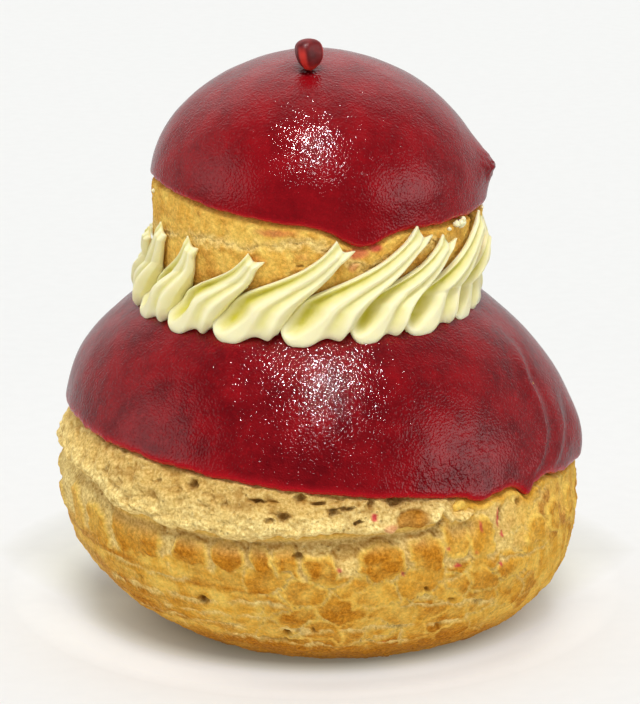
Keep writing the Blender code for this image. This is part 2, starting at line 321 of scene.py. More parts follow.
def fan_faces(centre, ring_start, columns, downwards):
    """Triangles from a pole to its ring; downwards is true where the ring lies below the pole."""
    column = np.arange(columns)
    sides = [ring_start + column, ring_start + (column + 1) % columns]
    if not downwards:
        sides.reverse()
    return np.stack([np.full(columns, centre)] + sides, axis=-1)


def closed_body(rings):
    """Points and faces of stacked rings whose two ends are closed by a point in their middle."""
    rows, columns = rings.shape[:2]
    poles = np.stack([rings[0].mean(axis=0), rings[-1].mean(axis=0)])
    points = np.concatenate([rings.reshape(-1, 3), poles])
    faces = [
        wrapped_faces(rows, columns),
        fan_faces(rows * columns, 0, columns, True),
        fan_faces(rows * columns + 1, (rows - 1) * columns, columns, False),
    ]
    return points, faces


def closed_fields(fields):
    """Fields of stacked rings with the two end points' values added."""
    return {name: np.concatenate([values.ravel(), [values[0].mean(), values[-1].mean()]])
            for name, values in fields.items()}


def clipped(fields):
    """Fields kept between 0 and 1."""
    return {name: np.clip(values, 0.0, 1.0) for name, values in fields.items()}


def front_heavy(columns, share):
    """Azimuths right round in degrees, closer together at the front: a - share * sin a."""
    even = np.linspace(-math.pi, math.pi, columns, endpoint=False)
    return np.degrees(even - share * np.sin(even))


# ---------------- materials

def linear(code):
    """Linear RGBA from an sRGB hex value such as "C8A050"."""
    shares = [int(code[place:place + 2], 16) / 255.0 for place in (0, 2, 4)]
    return tuple(s / 12.92 if s <= 0.04045 else ((s + 0.055) / 1.055) ** 2.4 for s in shares) + (1.0,)


def every(size):
    """Texture scale for features `size` mm apart, in Object coordinates."""
    return 1.0 / (size * MM)


def node(tree, kind, sockets, output=0, **settings):
    """Add a shader node with its settings and links, and return one of its outputs.

    Sockets go by name, or by number where names repeat: a MapRange's 1 to 4 are the range
    read and the range given; a Mix's 0 is the share, 2 and 3 its numbers, 6 and 7 its
    colours.
    """
    made = tree.nodes.new("ShaderNode" + kind)
    for name, value in settings.items():
        setattr(made, name, value)
    for name, value in sockets.items():
        if isinstance(value, bpy.types.NodeSocket):
            tree.links.new(value, made.inputs[name])
        else:
            made.inputs[name].default_value = value
    return made.outputs[output] if made.outputs else None


def start_material(name):
    """An empty node material, its tree and its Object coordinates."""
    material = bpy.data.materials.new(name)
    material.use_nodes = True
    tree = material.node_tree
    tree.nodes.clear()
    place = node(tree, "TexCoord", {}, "Object")
    return material, tree, place


def finish_material(material, sockets):
    """The material with a Principled shader set or linked as `sockets` says."""
    shader = node(material.node_tree, "BsdfPrincipled", sockets)
    node(material.node_tree, "OutputMaterial", {"Surface": shader})
    return material


def baked_choux():
    """Baked choux crust: egg-washed dough, dried in the oven to a dull, mealy golden skin.

    Thick places brown first and their rims stay golden; where the skin tears pale open
    crumb shows.  The painted fields say where, and where painted shade darkens hollows and
    the foot; a fine grain and pinholes, darkened as painted shade, break it all up.
    """
    material, tree, place = start_material("baked_choux_crust")
    painted = {name: node(tree, "Attribute", {}, "Fac", attribute_name=name) for name in CRUST_FIELDS}
    grain, blotch = (
        node(tree, "TexNoise", {"Vector": place, "Scale": every(size), "Detail": 3.0, "Roughness": rough})
        for size, rough in ((0.45, 0.65), (2.4, 0.6)))
    mealy, patchy = (node(tree, "MapRange", {"Value": noise, 1: 0.36, 2: 0.64}) for noise in (grain, blotch))
    gold, brown, crumb = (
        node(tree, "Mix", {0: share, 6: linear(first), 7: linear(second)}, 2, data_type="RGBA")
        for share, first, second in (
            (patchy, "F9CF62", "E9AD3C"), (mealy, "B06A0C", "D08A22"), (mealy, "EBC470", "FFE9A0")))
    pinhole = node(tree, "TexVoronoi", {"Vector": place, "Scale": every(0.8)})
    pinhole = node(tree, "MapRange", {"Value": pinhole, 1: 0.12, 2: 0.26, 3: 1.0, 4: 0.0})
    pinhole = node(tree, "Math", {0: pinhole, 1: painted["crumb"]}, operation="MULTIPLY")
    # The pinholes are darkened as painted shade.
    pinhole_shade = node(tree, "Math", {0: pinhole, 1: 0.26}, operation="MULTIPLY")
    colour = gold
    # The browning field is real browning and also painted shade under the glaze's edge and at the foot; the
    # shade and hollow fields and the pinholes are painted shade in recesses, clefts, holes and cracks.
    for share, tint in (
            (painted["browning_and_shade"], brown), (painted["rim"], linear("F9D060")), (painted["crumb"], crumb),
            (painted["shade"], linear("A06C1E")), (pinhole_shade, linear("7A4F18")),
            (painted["hollow"], linear("74460E")), (painted["stain"], linear("CC3444"))):
        colour = node(tree, "Mix", {0: share, 6: colour, 7: tint}, 2, data_type="RGBA")
    uneven = node(tree, "MapRange", {"Value": grain, 1: 0.3, 2: 0.7, 3: 0.78, 4: 1.14})
    colour = node(tree, "Mix", {0: 1.0, 6: colour, 7: uneven}, 2, data_type="RGBA", blend_type="MULTIPLY")
    relief = node(tree, "Bump", {"Height": grain, "Distance": 0.22 * MM})
    relief = node(tree, "Bump", {"Height": pinhole, "Distance": -0.12 * MM, "Normal": relief})
    return finish_material(material, {
        "Base Color": colour,
        "Roughness": node(tree, "MapRange", {"Value": painted["browning_and_shade"], 3: 0.85, 4: 0.70}),
        "Specular IOR Level": 0.10,
        "IOR": 1.45,
        "Normal": relief,
    })


def poured_glaze():
    """Fruit glaze set with gelatine: poured warm, it sets clear deep red with a moist gloss.

    The skin dries to fine dimples like orange peel, which break a lamp's reflection
    into sparks.  Light gets in at thin edges, where the red is brighter.  The painted
    fields say where it is thin or rippled, and where a painted shadow darkens it and dulls
    its gloss round the seed's foot.
    """
    material, tree, place = start_material("poured_red_glaze")
    painted = {name: node(tree, "Attribute", {}, "Fac", attribute_name=name) for name in GLAZE_FIELDS}
    cloud, fleck, swell, ripple = (
        node(tree, "TexNoise", {"Vector": place, "Scale": every(size), "Detail": detail, "Roughness": rough})
        for size, detail, rough in ((5.0, 3.0, 0.6), (0.7, 2.0, 0.6), (2.6, 2.0, 0.5), (0.9, 2.0, 0.5)))
    cloudy = node(tree, "MapRange", {"Value": cloud, 1: 0.35, 2: 0.65})
    flecked = node(tree, "MapRange", {"Value": fleck, 1: 0.55, 2: 0.75, 4: 0.40})
    colour = node(tree, "Mix", {0: cloudy, 6: linear("64040C"), 7: linear("860912")}, 2, data_type="RGBA")
    # Round the seed's foot the glaze is painted darker: a painted shadow.
    for share, tint in ((flecked, "A01018"), (painted["thin"], "B0101C"), (painted["seed_shadow"], "58060C")):
        colour = node(tree, "Mix", {0: share, 6: colour, 7: linear(tint)}, 2, data_type="RGBA")
    dimple = node(tree, "TexNoise", {
        "Vector": place, "Scale": every(0.32), "Detail": 0.6, "Roughness": 0.5, "Distortion": 0.3})
    pit = node(tree, "TexVoronoi", {"Vector": place, "Scale": every(0.6)})
    pit = node(tree, "MapRange", {"Value": pit, 1: 0.05, 2: 0.24, 3: 1.0, 4: 0.0})
    below = {}
    for height, depth, strength in (
            (swell, 0.09, 1.0), (dimple, 0.095, 1.0), (pit, 0.035, 1.0), (ripple, 0.30, painted["ripple"])):
        relief = node(tree, "Bump", {"Height": height, "Distance": depth * MM, "Strength": strength, **below})
        below = {"Normal": relief}
    return finish_material(material, {
        "Base Color": colour,
        "Roughness": node(tree, "MapRange", {"Value": cloud, 1: 0.3, 2: 0.7, 3: 0.055, 4: 0.10}),
        "IOR": 1.40,
        # Round the seed's foot, where the shadow is painted, the gloss is turned down.
        "Specular IOR Level": node(tree, "MapRange", {"Value": painted["seed_shadow"], 3: 0.50, 4: 0.12}),
        "Normal": relief,
    })


def butter_cream():
    """Butter cream, beaten and piped through an open star: smooth, fatty, softly shining.

    Light runs a little way through it, so ridges glow ivory; the folds are painted a darker
    yellow green as painted shade and as the light that has run through the cream.
    """
    material, tree, place = start_material("piped_butter_cream")
    fold_shade = node(tree, "Attribute", {}, "Fac", attribute_name="fold_shade")
    streak = node(tree, "TexNoise", {"Vector": place, "Scale": every(1.6), "Detail": 2.0})
    streaked = node(tree, "MapRange", {"Value": streak, 1: 0.4, 2: 0.7, 4: 0.30})
    tooth = node(tree, "TexNoise", {"Vector": place, "Scale": every(0.5), "Detail": 2.0})
    # The folds are painted darker and yellower as painted shade.
    colour = node(tree, "Mix", {0: fold_shade, 6: linear("F7EFC2"), 7: linear("D2C83E")}, 2, data_type="RGBA")
    colour = node(tree, "Mix", {0: streaked, 6: colour, 7: linear("F8F0B8")}, 2, data_type="RGBA")
    return finish_material(material, {
        "Base Color": colour,
        "Roughness": 0.42,
        "IOR": 1.45,
        "Specular IOR Level": 0.25,
        "Subsurface Weight": 0.35,
        "Subsurface Radius": (1.0, 0.85, 0.45),
        "Subsurface Scale": MM,
        "Normal": node(tree, "Bump", {"Height": tooth, "Distance": 0.02 * MM}),
    })


def seed_flesh():
    """Fresh fruit seed: clear juicy flesh under a thin tight skin, glistening to the eye.

    Its soft edges are the thinnest and brightest red; between them the kernel darkens it.
    """
    material, tree, place = start_material("ruby_seed_flesh")
    edge = node(tree, "Attribute", {}, "Fac", attribute_name="edge")
    cloud = node(tree, "TexNoise", {"Vector": place, "Scale": every(1.3), "Detail": 2.0})
    cloudy = node(tree, "MapRange", {"Value": cloud, 1: 0.35, 2: 0.65})
    bulge = node(tree, "TexNoise", {"Vector": place, "Scale": every(0.7)})
    colour = node(tree, "Mix", {0: cloudy, 6: linear("7E1A1C"), 7: linear("5C1214")}, 2, data_type="RGBA")
    colour = node(tree, "Mix", {0: edge, 6: colour, 7: linear("D0342A")}, 2, data_type="RGBA")
    return finish_material(material, {
        "Base Color": colour,
        "Roughness": 0.40,
        "IOR": 1.38,
        "Subsurface Weight": 0.25,
        "Subsurface Radius": (1.0, 0.2, 0.15),
        "Subsurface Scale": MM,
        "Normal": node(tree, "Bump", {"Height": bulge, "Distance": 0.05 * MM}),
    })


# Painted light and shadow on the paper floor, as glow in rings round the foot: a dim
# painted shadow under the bun, brighter round it, even far off.
PAINTED_FLOOR_GLOW = (0.06, 0.26, 0.22)
# Tints of the glow: warm under the bun as in a painted shadow, near white beyond.
GLOW_TINTS = ("E6E4B4", "EEEFEC", "F2F4F0")
GLOW_RINGS = (32.0, 44.0, 60.0, 150.0)  # distances at which they blend, mm
GLOW_MIDDLE = (0.0, 0.020, 0.0)         # metres
GLOW_OVAL = (1.15, 1.0, 1.0)            # more than 1 makes the rings narrower that way
# The painted shadow reaches further behind the bun.
GLOW_BEHIND = (10.0, 35.0, 16.0)        # the inner ring is wider behind: from, to, how much, mm
# Painted light: a brighter crescent just in front of the foot, added only to what is
# seen directly, lightens the shadow there.
PAINTED_FRONT_LIGHT = 0.62
FRONT_START = (38.0, 46.0)              # distances over which it grows, mm
FRONT_END = (43.0, 54.0)                # and over which it ends
FRONT_FADE = (-22.0, 10.0, 0.25)        # from front to back it fades: from, to (mm), share left


def paper_floor():
    """Matt, even white paper that glows a little.

    The glow is painted light and shadow: dim and warm under the pastry as a painted shadow
    that reaches further behind it, brighter round it, and brighter still in a crescent just
    in front of the foot.
    """
    material, tree, place = start_material("matt_white_paper")
    tooth = node(tree, "TexNoise", {"Vector": place, "Scale": every(3.0), "Detail": 2.0})
    toothed = node(tree, "MapRange", {"Value": tooth, 1: 0.3, 2: 0.7})
    colour = node(tree, "Mix", {0: toothed, 6: linear("CACAC9"), 7: linear("CCCCCB")}, 2, data_type="RGBA")
    oval = node(tree, "VectorMath", {0: place, 1: GLOW_OVAL}, operation="MULTIPLY")
    away = node(tree, "VectorMath", {0: oval, 1: GLOW_MIDDLE}, "Value", operation="DISTANCE")
    back = node(tree, "SeparateXYZ", {"Vector": place}, "Y")
    start, end, wider = (length * MM for length in GLOW_BEHIND)
    behind = node(tree, "MapRange", {"Value": back, 1: start, 2: end, 4: wider})
    clear = node(tree, "Math", {0: away, 1: behind}, operation="SUBTRACT")
    clear = node(tree, "MapRange", {"Value": clear, 1: GLOW_RINGS[0] * MM, 2: GLOW_RINGS[1] * MM})
    far = node(tree, "MapRange", {"Value": away, 1: GLOW_RINGS[2] * MM, 2: GLOW_RINGS[3] * MM})
    ring = node(tree, "Mix", {0: far, 2: PAINTED_FLOOR_GLOW[1], 3: PAINTED_FLOOR_GLOW[2]})
    glow = node(tree, "Mix", {0: clear, 2: PAINTED_FLOOR_GLOW[0], 3: ring})
    under, round_it, far_off = (linear(code) for code in GLOW_TINTS)
    tint = node(tree, "Mix", {0: clear, 6: under, 7: round_it}, 2, data_type="RGBA")
    tint = node(tree, "Mix", {0: far, 6: tint, 7: far_off}, 2, data_type="RGBA")
    front = node(tree, "LightPath", {}, "Is Camera Ray")
    for value, (start, end), first, second in (
            (away, FRONT_START, 0.0, PAINTED_FRONT_LIGHT), (away, FRONT_END, 1.0, 0.0),
            (back, FRONT_FADE[:2], 1.0, FRONT_FADE[2])):
        share = node(tree, "MapRange", {"Value": value, 1: start * MM, 2: end * MM, 3: first, 4: second})
        front = node(tree, "Math", {0: front, 1: share}, operation="MULTIPLY")
    glow = node(tree, "Math", {0: glow, 1: front}, operation="ADD")
    return finish_material(material, {
        "Base Color": colour,
        "Roughness": 0.9,
        "Specular IOR Level": 0.1,
        "Emission Color": tint,
        "Emission Strength": glow,
    })


# ---------------- the baked crusts

class Patch(NamedTuple):
    """Something on a bun's side: where it is and how big; degrees and mm."""

    azimuth: float
    height: float
    half_width: float
    half_height: float
    strength: float = 1.0


def patches(*rows):
    """Patches from rows of their numbers."""
    return tuple(Patch(*row) for row in rows)


# The browned tiles in the row below the torn crumb, from left to right.
TILES = patches(
    (-43, 22.0, 4.8, 4.4, 0.85), (-29, 21.2, 2.8, 2.5), (-20, 21.0, 2.7, 2.7),
    (-12.2, 21.0, 1.9, 2.7), (-6.6, 21.0, 1.9, 2.7), (0.3, 20.0, 2.2, 2.5),
    (13.5, 20.8, 3.3, 2.8), (24, 21.2, 2.9, 3.0), (31.5, 23.4, 2.3, 3.2, 0.6),
    (38, 22.6, 2.5, 3.2, 0.6), (55, 21.0, 2.5, 2.8, 0.45), (63, 22.0, 2.0, 2.4, 0.4),
    (-58, 21.0, 2.8, 3.6, 0.5), (-68, 22.0, 2.2, 4.2, 0.5),
)
# Blown holes and slits in the crust, from left to right.
HOLES = patches(
    (-29, 13.8, 1.1, 0.7), (-14, 7.6, 4.2, 0.40), (-11, 9.0, 0.75, 0.60),
    (-46.5, 15.0, 0.5, 0.4, 0.8), (-4, 22.0, 1.1, 0.55, 0.8), (-4, 10.1, 0.3, 0.6, 0.7),
    (44, 25.2, 0.30, 1.2, 0.8), (50, 26.0, 0.8, 0.7, 0.6), (-47, 6.2, 0.9, 0.5, 0.7),
    (23, 15.9, 0.4, 0.4, 0.7), (27, 9.4, 0.8, 0.3, 0.6), (38, 12.2, 1.0, 0.3, 0.6),
    (30, 13.4, 0.9, 0.35, 0.6),
)
LENS = Patch(6, 22.5, 2.6, 1.35)        # a shallow blister with a thin upper lip
# Cavities in the torn crumb under the glaze.
CAVITIES = patches(
    (-27, 31.2, 0.6, 0.8), (-12.2, 29.8, 1.3, 0.30), (-6.4, 28.0, 1.2, 0.7),
    (-9.5, 27.4, 0.7, 0.3, 0.7), (-3.2, 30.4, 0.9, 0.5), (1.3, 29.9, 1.2, 0.40),
    (4.2, 28.6, 1.1, 0.6), (7.0, 29.0, 1.3, 0.25), (9.2, 27.0, 0.7, 0.25),
    (17.8, 29.5, 1.7, 0.8), (12.5, 29.4, 0.4, 0.8, 0.7), (-36, 30.8, 0.5, 0.4, 0.5),
    (-19, 29.3, 0.4, 0.6, 0.5), (-51, 30.4, 0.25, 0.8, 0.8), (50, 27.0, 0.5, 0.8, 0.8),
)
BLISTER = Patch(21.5, 26.3, 3.2, 2.1)   # a browned one in the torn crumb
CORNICE = 25.2                  # height of the torn crumb's lower edge
CORNICE_ROOM = 3.2              # least height between the glaze's edge and that edge
ROW_FLOOR = (19.0, 19.7)        # heights over which the cells give way to the row of tiles
CELLS_ROUND = 42                # cracked cells round the large bun
CELL_FLATNESS = 0.66            # a cell's height as a share of its width
# Pale lines where the skin stretched as the bun rose: start and end, azimuth and height
# of each, and half its width.
STRETCHES = (
    (-64, 13.0, -6, 13.9, 0.50), (-16, 9.6, 36, 9.6, 0.45), (-30, 7.2, 22, 6.6, 0.30),
    (-66, 8.6, -20, 9.4, 0.30), (16, 13.6, 44, 12.0, 0.35), (-58, 16.9, -30, 17.3, 0.30),
    (26, 17.4, 62, 18.2, 0.30), (-44, 11.0, -14, 11.3, 0.25),
)
# The same on the sides and back.
REAR_STRETCHES = tuple(
    (start, level, start + 46.0, level + 0.5, 0.4)
    for start, level in ((80, 12.8), (118, 8.8), (150, 13.6), (196, 9.6), (232, 13.0)))
# Smears of glaze left on the crust.
SMEARS = patches(
    (13, 27.6, 0.6, 0.6), (16, 25.9, 1.0, 0.6, 0.5), (38, 24.0, 0.30, 1.0, 0.8),
    (43.3, 24.6, 0.35, 1.5), (43.8, 22.3, 0.3, 0.6), (31, 19.1, 0.8, 0.35),
    (29, 21.8, 0.3, 0.4, 0.8), (43, 17.9, 0.3, 0.5), (4, 20.2, 0.5, 0.4, 0.8),
    (18, 18.8, 0.35, 0.35, 0.8), (13, 7.0, 0.35, 0.25), (36, 20.6, 0.5, 0.3, 0.4),
)


def patch_depth(patch, arc, azimuth, height, power=2.0):
    """How deep a point lies in a patch: 1 at its middle, 0 on its superellipse edge, less outside."""
    across = np.abs(turned(azimuth, patch.azimuth)) * arc / patch.half_width
    up = np.abs(height - patch.height) / patch.half_height
    return 1.0 - (across ** power + up ** power) ** (1.0 / power)


def strongest(places, arc, azimuth, height, outside, inside):
    """Where patches lie, each with soft edges and its own strength; the strongest one counts."""
    cover = np.zeros(azimuth.shape)
    for patch in places:
        depth = patch_depth(patch, arc, azimuth, height)
        cover = np.maximum(cover, patch.strength * ramp(depth, outside, inside))
    return cover


def ledge_height(azimuth):
    """Height of the torn crumb's lower edge.

    It climbs on the left and where the band isn't bold, and dips before the middle.
    """
    level = np.minimum(CORNICE, large_rim(azimuth) - CORNICE_ROOM)
    level = level - 0.8 * bell_round(azimuth, -16.0, 17.0)
    climb = ramp(-azimuth, 44.0, 60.0) * (1.0 - ramp(-azimuth, 96.0, 125.0))
    boldness = ledge_boldness(azimuth, ring_of(azimuth, LARGE.radius, 26.0))
    return level + 2.8 * climb + 2.6 * (1.0 - boldness)


def ledge_boldness(azimuth, points):
    """1 where the torn crumb stands out, 0 on the right where the glaze hangs too low for it."""
    room = large_rim(azimuth) - CORNICE_ROOM - CORNICE
    return ramp(room + layered_noise(points, 2.6, 171), -0.7, 0.9)


def tiles_at(arc, azimuth, height):
    """Depth in mm inside the nearest tile's outline, less than 0 outside, and how brown it is."""
    deepest = np.full(azimuth.shape, -9.0)
    tone = np.zeros(azimuth.shape)
    for tile in TILES + rear_tiles():
        depth = patch_depth(tile, arc, azimuth, height, 3.2) * min(tile.half_width, tile.half_height)
        tone = np.where(depth > deepest, tile.strength, tone)
        deepest = np.maximum(deepest, depth)
    return deepest, tone


def left_tuck(azimuth):
    """1 on the left side, where the crust draws in under the glaze, 0 elsewhere."""
    return ramp(-azimuth, 52.0, 78.0) * (1.0 - ramp(-azimuth, 115.0, 145.0))


def rear_tiles():
    """Tiles for the sides and back, in an uneven row, 8 to 14 degrees apart."""
    tiles = []
    azimuth = 74.0
    number = 0
    while azimuth < 284.0:
        chance = [float(scrambled(number, kind, 7, 11)) for kind in range(5)]
        width = 1.6 + 1.7 * chance[0]
        tiles.append(Patch(azimuth, 21.0 + 2.0 * chance[1], width, 2.0 + 1.2 * chance[2],
                           0.5 + 0.4 * chance[3]))
        azimuth += 6.4 + 4.6 * chance[4] + width
        number += 1
    return tuple(tiles)


def rear_marks(count, low, high, width, tall, seed):
    """Marks scattered over the sides and back, between two heights."""
    marks = []
    for number in range(count):
        chance = [float(scrambled(number, kind, 5, seed)) for kind in range(5)]
        azimuth = 72.0 + 216.0 * (number + 0.8 * chance[0]) / count
        marks.append(Patch(azimuth, low + (high - low) * chance[1], width * (0.5 + chance[2]),
                           tall * (0.5 + chance[3]), 0.5 + 0.5 * chance[4]))
    return tuple(marks)


def stretch_lines(azimuth, height, points):
    """1 along the pale stretch lines, which waver, start and end softly, and fade in places."""
    line = np.zeros(azimuth.shape)
    waver = 0.8 * soft_noise(points, 9.0, 81)
    for start, start_height, end, end_height, half in STRETCHES + REAR_STRETCHES:
        share = turned(azimuth, start) / (end - start)
        level = start_height + (end_height - start_height) * share + waver
        ends = ramp(share, 0.0, 0.08) * (1.0 - ramp(share, 0.90, 1.0))
        line = np.maximum(line, ends * (1.0 - ramp(np.abs(height - level), 0.3 * half, 1.2 * half)))
    return line * ramp(layered_noise(points, 3.0, 83), -0.9, 0.1)


def lower_crust_relief(azimuth, height, points):
    """Relief in mm and the painted fields of the large crust, each a weighted sum of features.

    Tiles stand 0.3 mm proud with rounded, brighter rims.  Below their row, and round them
    on the right, the skin is cut into cells by cracks, where the two nearest cell
    centres are about equally far; on the left long streaks take over.  Every outline is
    shaken by layered noise.
    """
    arc = arc_of(LARGE)
    ragged = 0.16 * soft_noise(points, 0.6, 27)
    shake = 0.60 * layered_noise(points, 2.0, 21) + ragged
    shake_up = 0.50 * layered_noise(points, 1.8, 31) + ragged
    around = azimuth + shake / arc
    level = height + shake_up
    coarse, medium, fine = noises(points, (4.2, 41), (1.8, 45), (0.8, 51))
    streak = layered_noise(points * np.array([0.22, 0.22, 1.0]), 1.5, 55)
    ledge = ledge_height(azimuth)
    boldness = ledge_boldness(azimuth, points)
    left = ramp(-azimuth, 6.0, 26.0) * (1.0 - ramp(-azimuth, 120.0, 150.0))
    right = ramp(azimuth, 36.0, 56.0) * (1.0 - ramp(azimuth, 120.0, 150.0))

    tile_depth, tile_tone = tiles_at(arc, around, level)
    plateau = ramp(tile_depth, -0.10, 0.35)
    above_floor = ramp(level + 0.6 * medium, *ROW_FLOOR)
    in_row = above_floor * (1.0 - ramp(height, ledge - 0.9, ledge - 0.2))

    cell = TURN * LARGE.radius / CELLS_ROUND
    cells_across = (around + 1.1 * coarse / arc) / 360.0 * CELLS_ROUND
    cells_up = (level + 0.5 * coarse) / (CELL_FLATNESS * cell)
    nearest, second, mark = scattered_cells(cells_across, cells_up, CELLS_ROUND, 61)
    gap = (second - nearest) * cell * 0.5
    in_cells = np.maximum(1.0 - above_floor, right * (1.0 - plateau)) * ramp(height, 4.5, 7.5)
    cracked = ramp(layered_noise(points, 5.0, 77), -0.5, 0.3) * (1.0 - 0.65 * left) * (1.0 - 0.3 * right)
    crack = (1.0 - ramp(gap + 0.10 * fine, 0.03, 0.22)) * cracked * in_cells
    line = stretch_lines(azimuth, level, points)

    open_crumb = in_row * (1.0 - plateau) * (1.0 - 0.85 * right)
    recess = bump_at(height, ledge - 1.0, 1.1) * boldness
    hole = strongest(HOLES + rear_marks(9, 8.0, 22.0, 1.0, 0.5, 91), arc,
                     azimuth + 0.35 * shake / arc, height + 0.35 * shake_up, -0.05, 0.45)
    stain = strongest(SMEARS + rear_marks(7, 9.0, 26.0, 0.4, 0.5, 93), arc,
                      azimuth + 0.5 * shake / arc, height + 0.5 * shake_up, -0.2, 0.5)
    lens = patch_depth(LENS, arc, azimuth + 0.3 * shake / arc, height + 0.3 * shake_up)
    lens_lip = bump_at(lens, 0.02, 0.10) * (height > LENS.height)
    lens = ramp(lens, 0.0, 0.5)

    relief = 0.34 * plateau * in_row + 0.16 * coarse + 0.13 * medium + 0.10 * fine + 0.08 * streak
    relief = relief - 0.75 * recess - 0.22 * open_crumb - 0.40 * crack - 0.26 * line
    relief = relief - 0.9 * hole - 0.6 * lens + 0.2 * lens_lip
    relief = relief - 0.5 * left_tuck(azimuth) * bump_at(height, 29.0, 2.4)
    relief = relief - 1.6 * ramp(height, ledge + 0.3, ledge + 1.3) * boldness
    relief = relief * ramp(height, 0.3, 2.5)

    tile_brown = plateau * in_row * tile_tone * ramp(tile_depth, 0.0, 0.8)
    tile_brown = tile_brown * (0.84 + 0.30 * medium + 0.16 * fine)
    cell_brown = (0.36 + 0.42 * mark + 0.30 * coarse + 0.26 * medium) * ramp(gap, 0.10, 0.50)
    band_brown = 0.44 + 0.70 * streak + 0.25 * coarse
    blob_brown = 0.10 + 0.70 * ramp(coarse + 0.6 * medium, 0.0, 0.8)
    body_brown = (1.0 - left) * cell_brown + left * band_brown
    body_brown = body_brown * (1.0 - right) + right * blob_brown
    browning_and_shade = tile_brown + in_cells * body_brown + 0.35 * right * in_row * ramp(medium, 0.0, 0.8)
    # Towards the foot the crust is painted browner: real browning and painted shade under the belly.
    browning_and_shade = browning_and_shade + (1.0 - ramp(height, 5.0, 9.0)) * (0.80 + 0.30 * streak)
    browning_and_shade = browning_and_shade * (1.0 - 0.7 * crack) * (1.0 - 0.7 * line)
    rim = 0.9 * bump_at(tile_depth, 0.20, 0.24) * in_row * (0.8 + 0.25 * medium)
    rim = rim + 0.55 * bump_at(gap, 0.26, 0.18) * cracked * in_cells + 0.8 * lens_lip
    crumb = 0.80 * open_crumb + 0.6 * recess + 0.75 * line + 0.8 * crack + 0.25 * left_tuck(azimuth)
    # The shade field is painted shade: in the recess under the ledge, in the open crumb's pores, towards the
    # foot, in the blister and round the tiles' feet.
    shade = 0.48 * recess * (1.0 - left_tuck(azimuth)) + 0.22 * open_crumb * ramp(fine, -0.3, 0.8)
    shade = shade + 0.50 * (1.0 - ramp(height, 1.5, 7.0)) * (0.8 + 0.5 * streak)
    shade = shade + 0.5 * lens + 0.30 * bump_at(tile_depth, -0.15, 0.2) * open_crumb
    fields = {
        "browning_and_shade": browning_and_shade,
        "rim": rim,
        "crumb": crumb * ramp(height, 1.5, 3.5),
        "shade": shade,
        # hollow is painted shade in the holes and in pits along the cracks and stretch lines.
        "hollow": 0.9 * hole + 0.60 * crack * ramp(fine, -0.1, 0.5) + 0.45 * line * ramp(fine, 0.2, 0.7),
        "stain": 0.9 * stain,
    }
    return relief, clipped(fields)


def make_crust(name, node_name, bun, rim, describe, cover, columns, rows, crowding, material):
    """A bun's crust: rings from under its glaze down to its flat foot.

    Four hidden rings, `cover` deep, close the top under the glaze.  From just inside the
    glaze's edge the rings share out the angle evenly to the foot.  The crust lies 0.25 mm
    inside the bun's skin, and 1.6 mm inside it where the glaze covers it.
    """
    azimuth = front_heavy(columns, crowding)[None, :]
    start = polar_at(bun, rim(azimuth) + 0.8)
    foot = polar_at(bun, np.array(bun.foot + 0.03))
    share = np.linspace(0.0, 1.0, rows)[:, None]
    polar = start + (foot - start) * share
    azimuth = azimuth + 0.0 * polar
    base = bun_skin(bun, azimuth, polar)
    relief, fields = describe(azimuth, base[..., 2], base)
    tuck = 1.35 * ramp(base[..., 2] - rim(azimuth), -0.9, 0.5) + 0.25
    skin = bun_skin(bun, azimuth, polar, relief - tuck)
    skin[..., 2] = np.maximum(skin[..., 2], bun.foot)
    skin[-1, :, 2] = bun.foot
    hidden = [bun_skin(bun, azimuth[0], start[0] * part, -cover) for part in (0.1, 0.4, 0.7, 0.97)]
    middle = skin[-1].mean(axis=0)
    closing = [middle + (skin[-1] - middle) * part for part in (0.7, 0.4, 0.1)]
    rings = np.concatenate([np.array(hidden), skin, np.array(closing)])
    plain_top = np.zeros((len(hidden), columns))
    plain_foot = np.zeros((len(closing), columns))
    fields = {key: np.concatenate([plain_top, values, plain_foot]) for key, values in fields.items()}
    points, faces = closed_body(rings)
    return make_piece(name, points, faces, material, [node_name], closed_fields(fields))


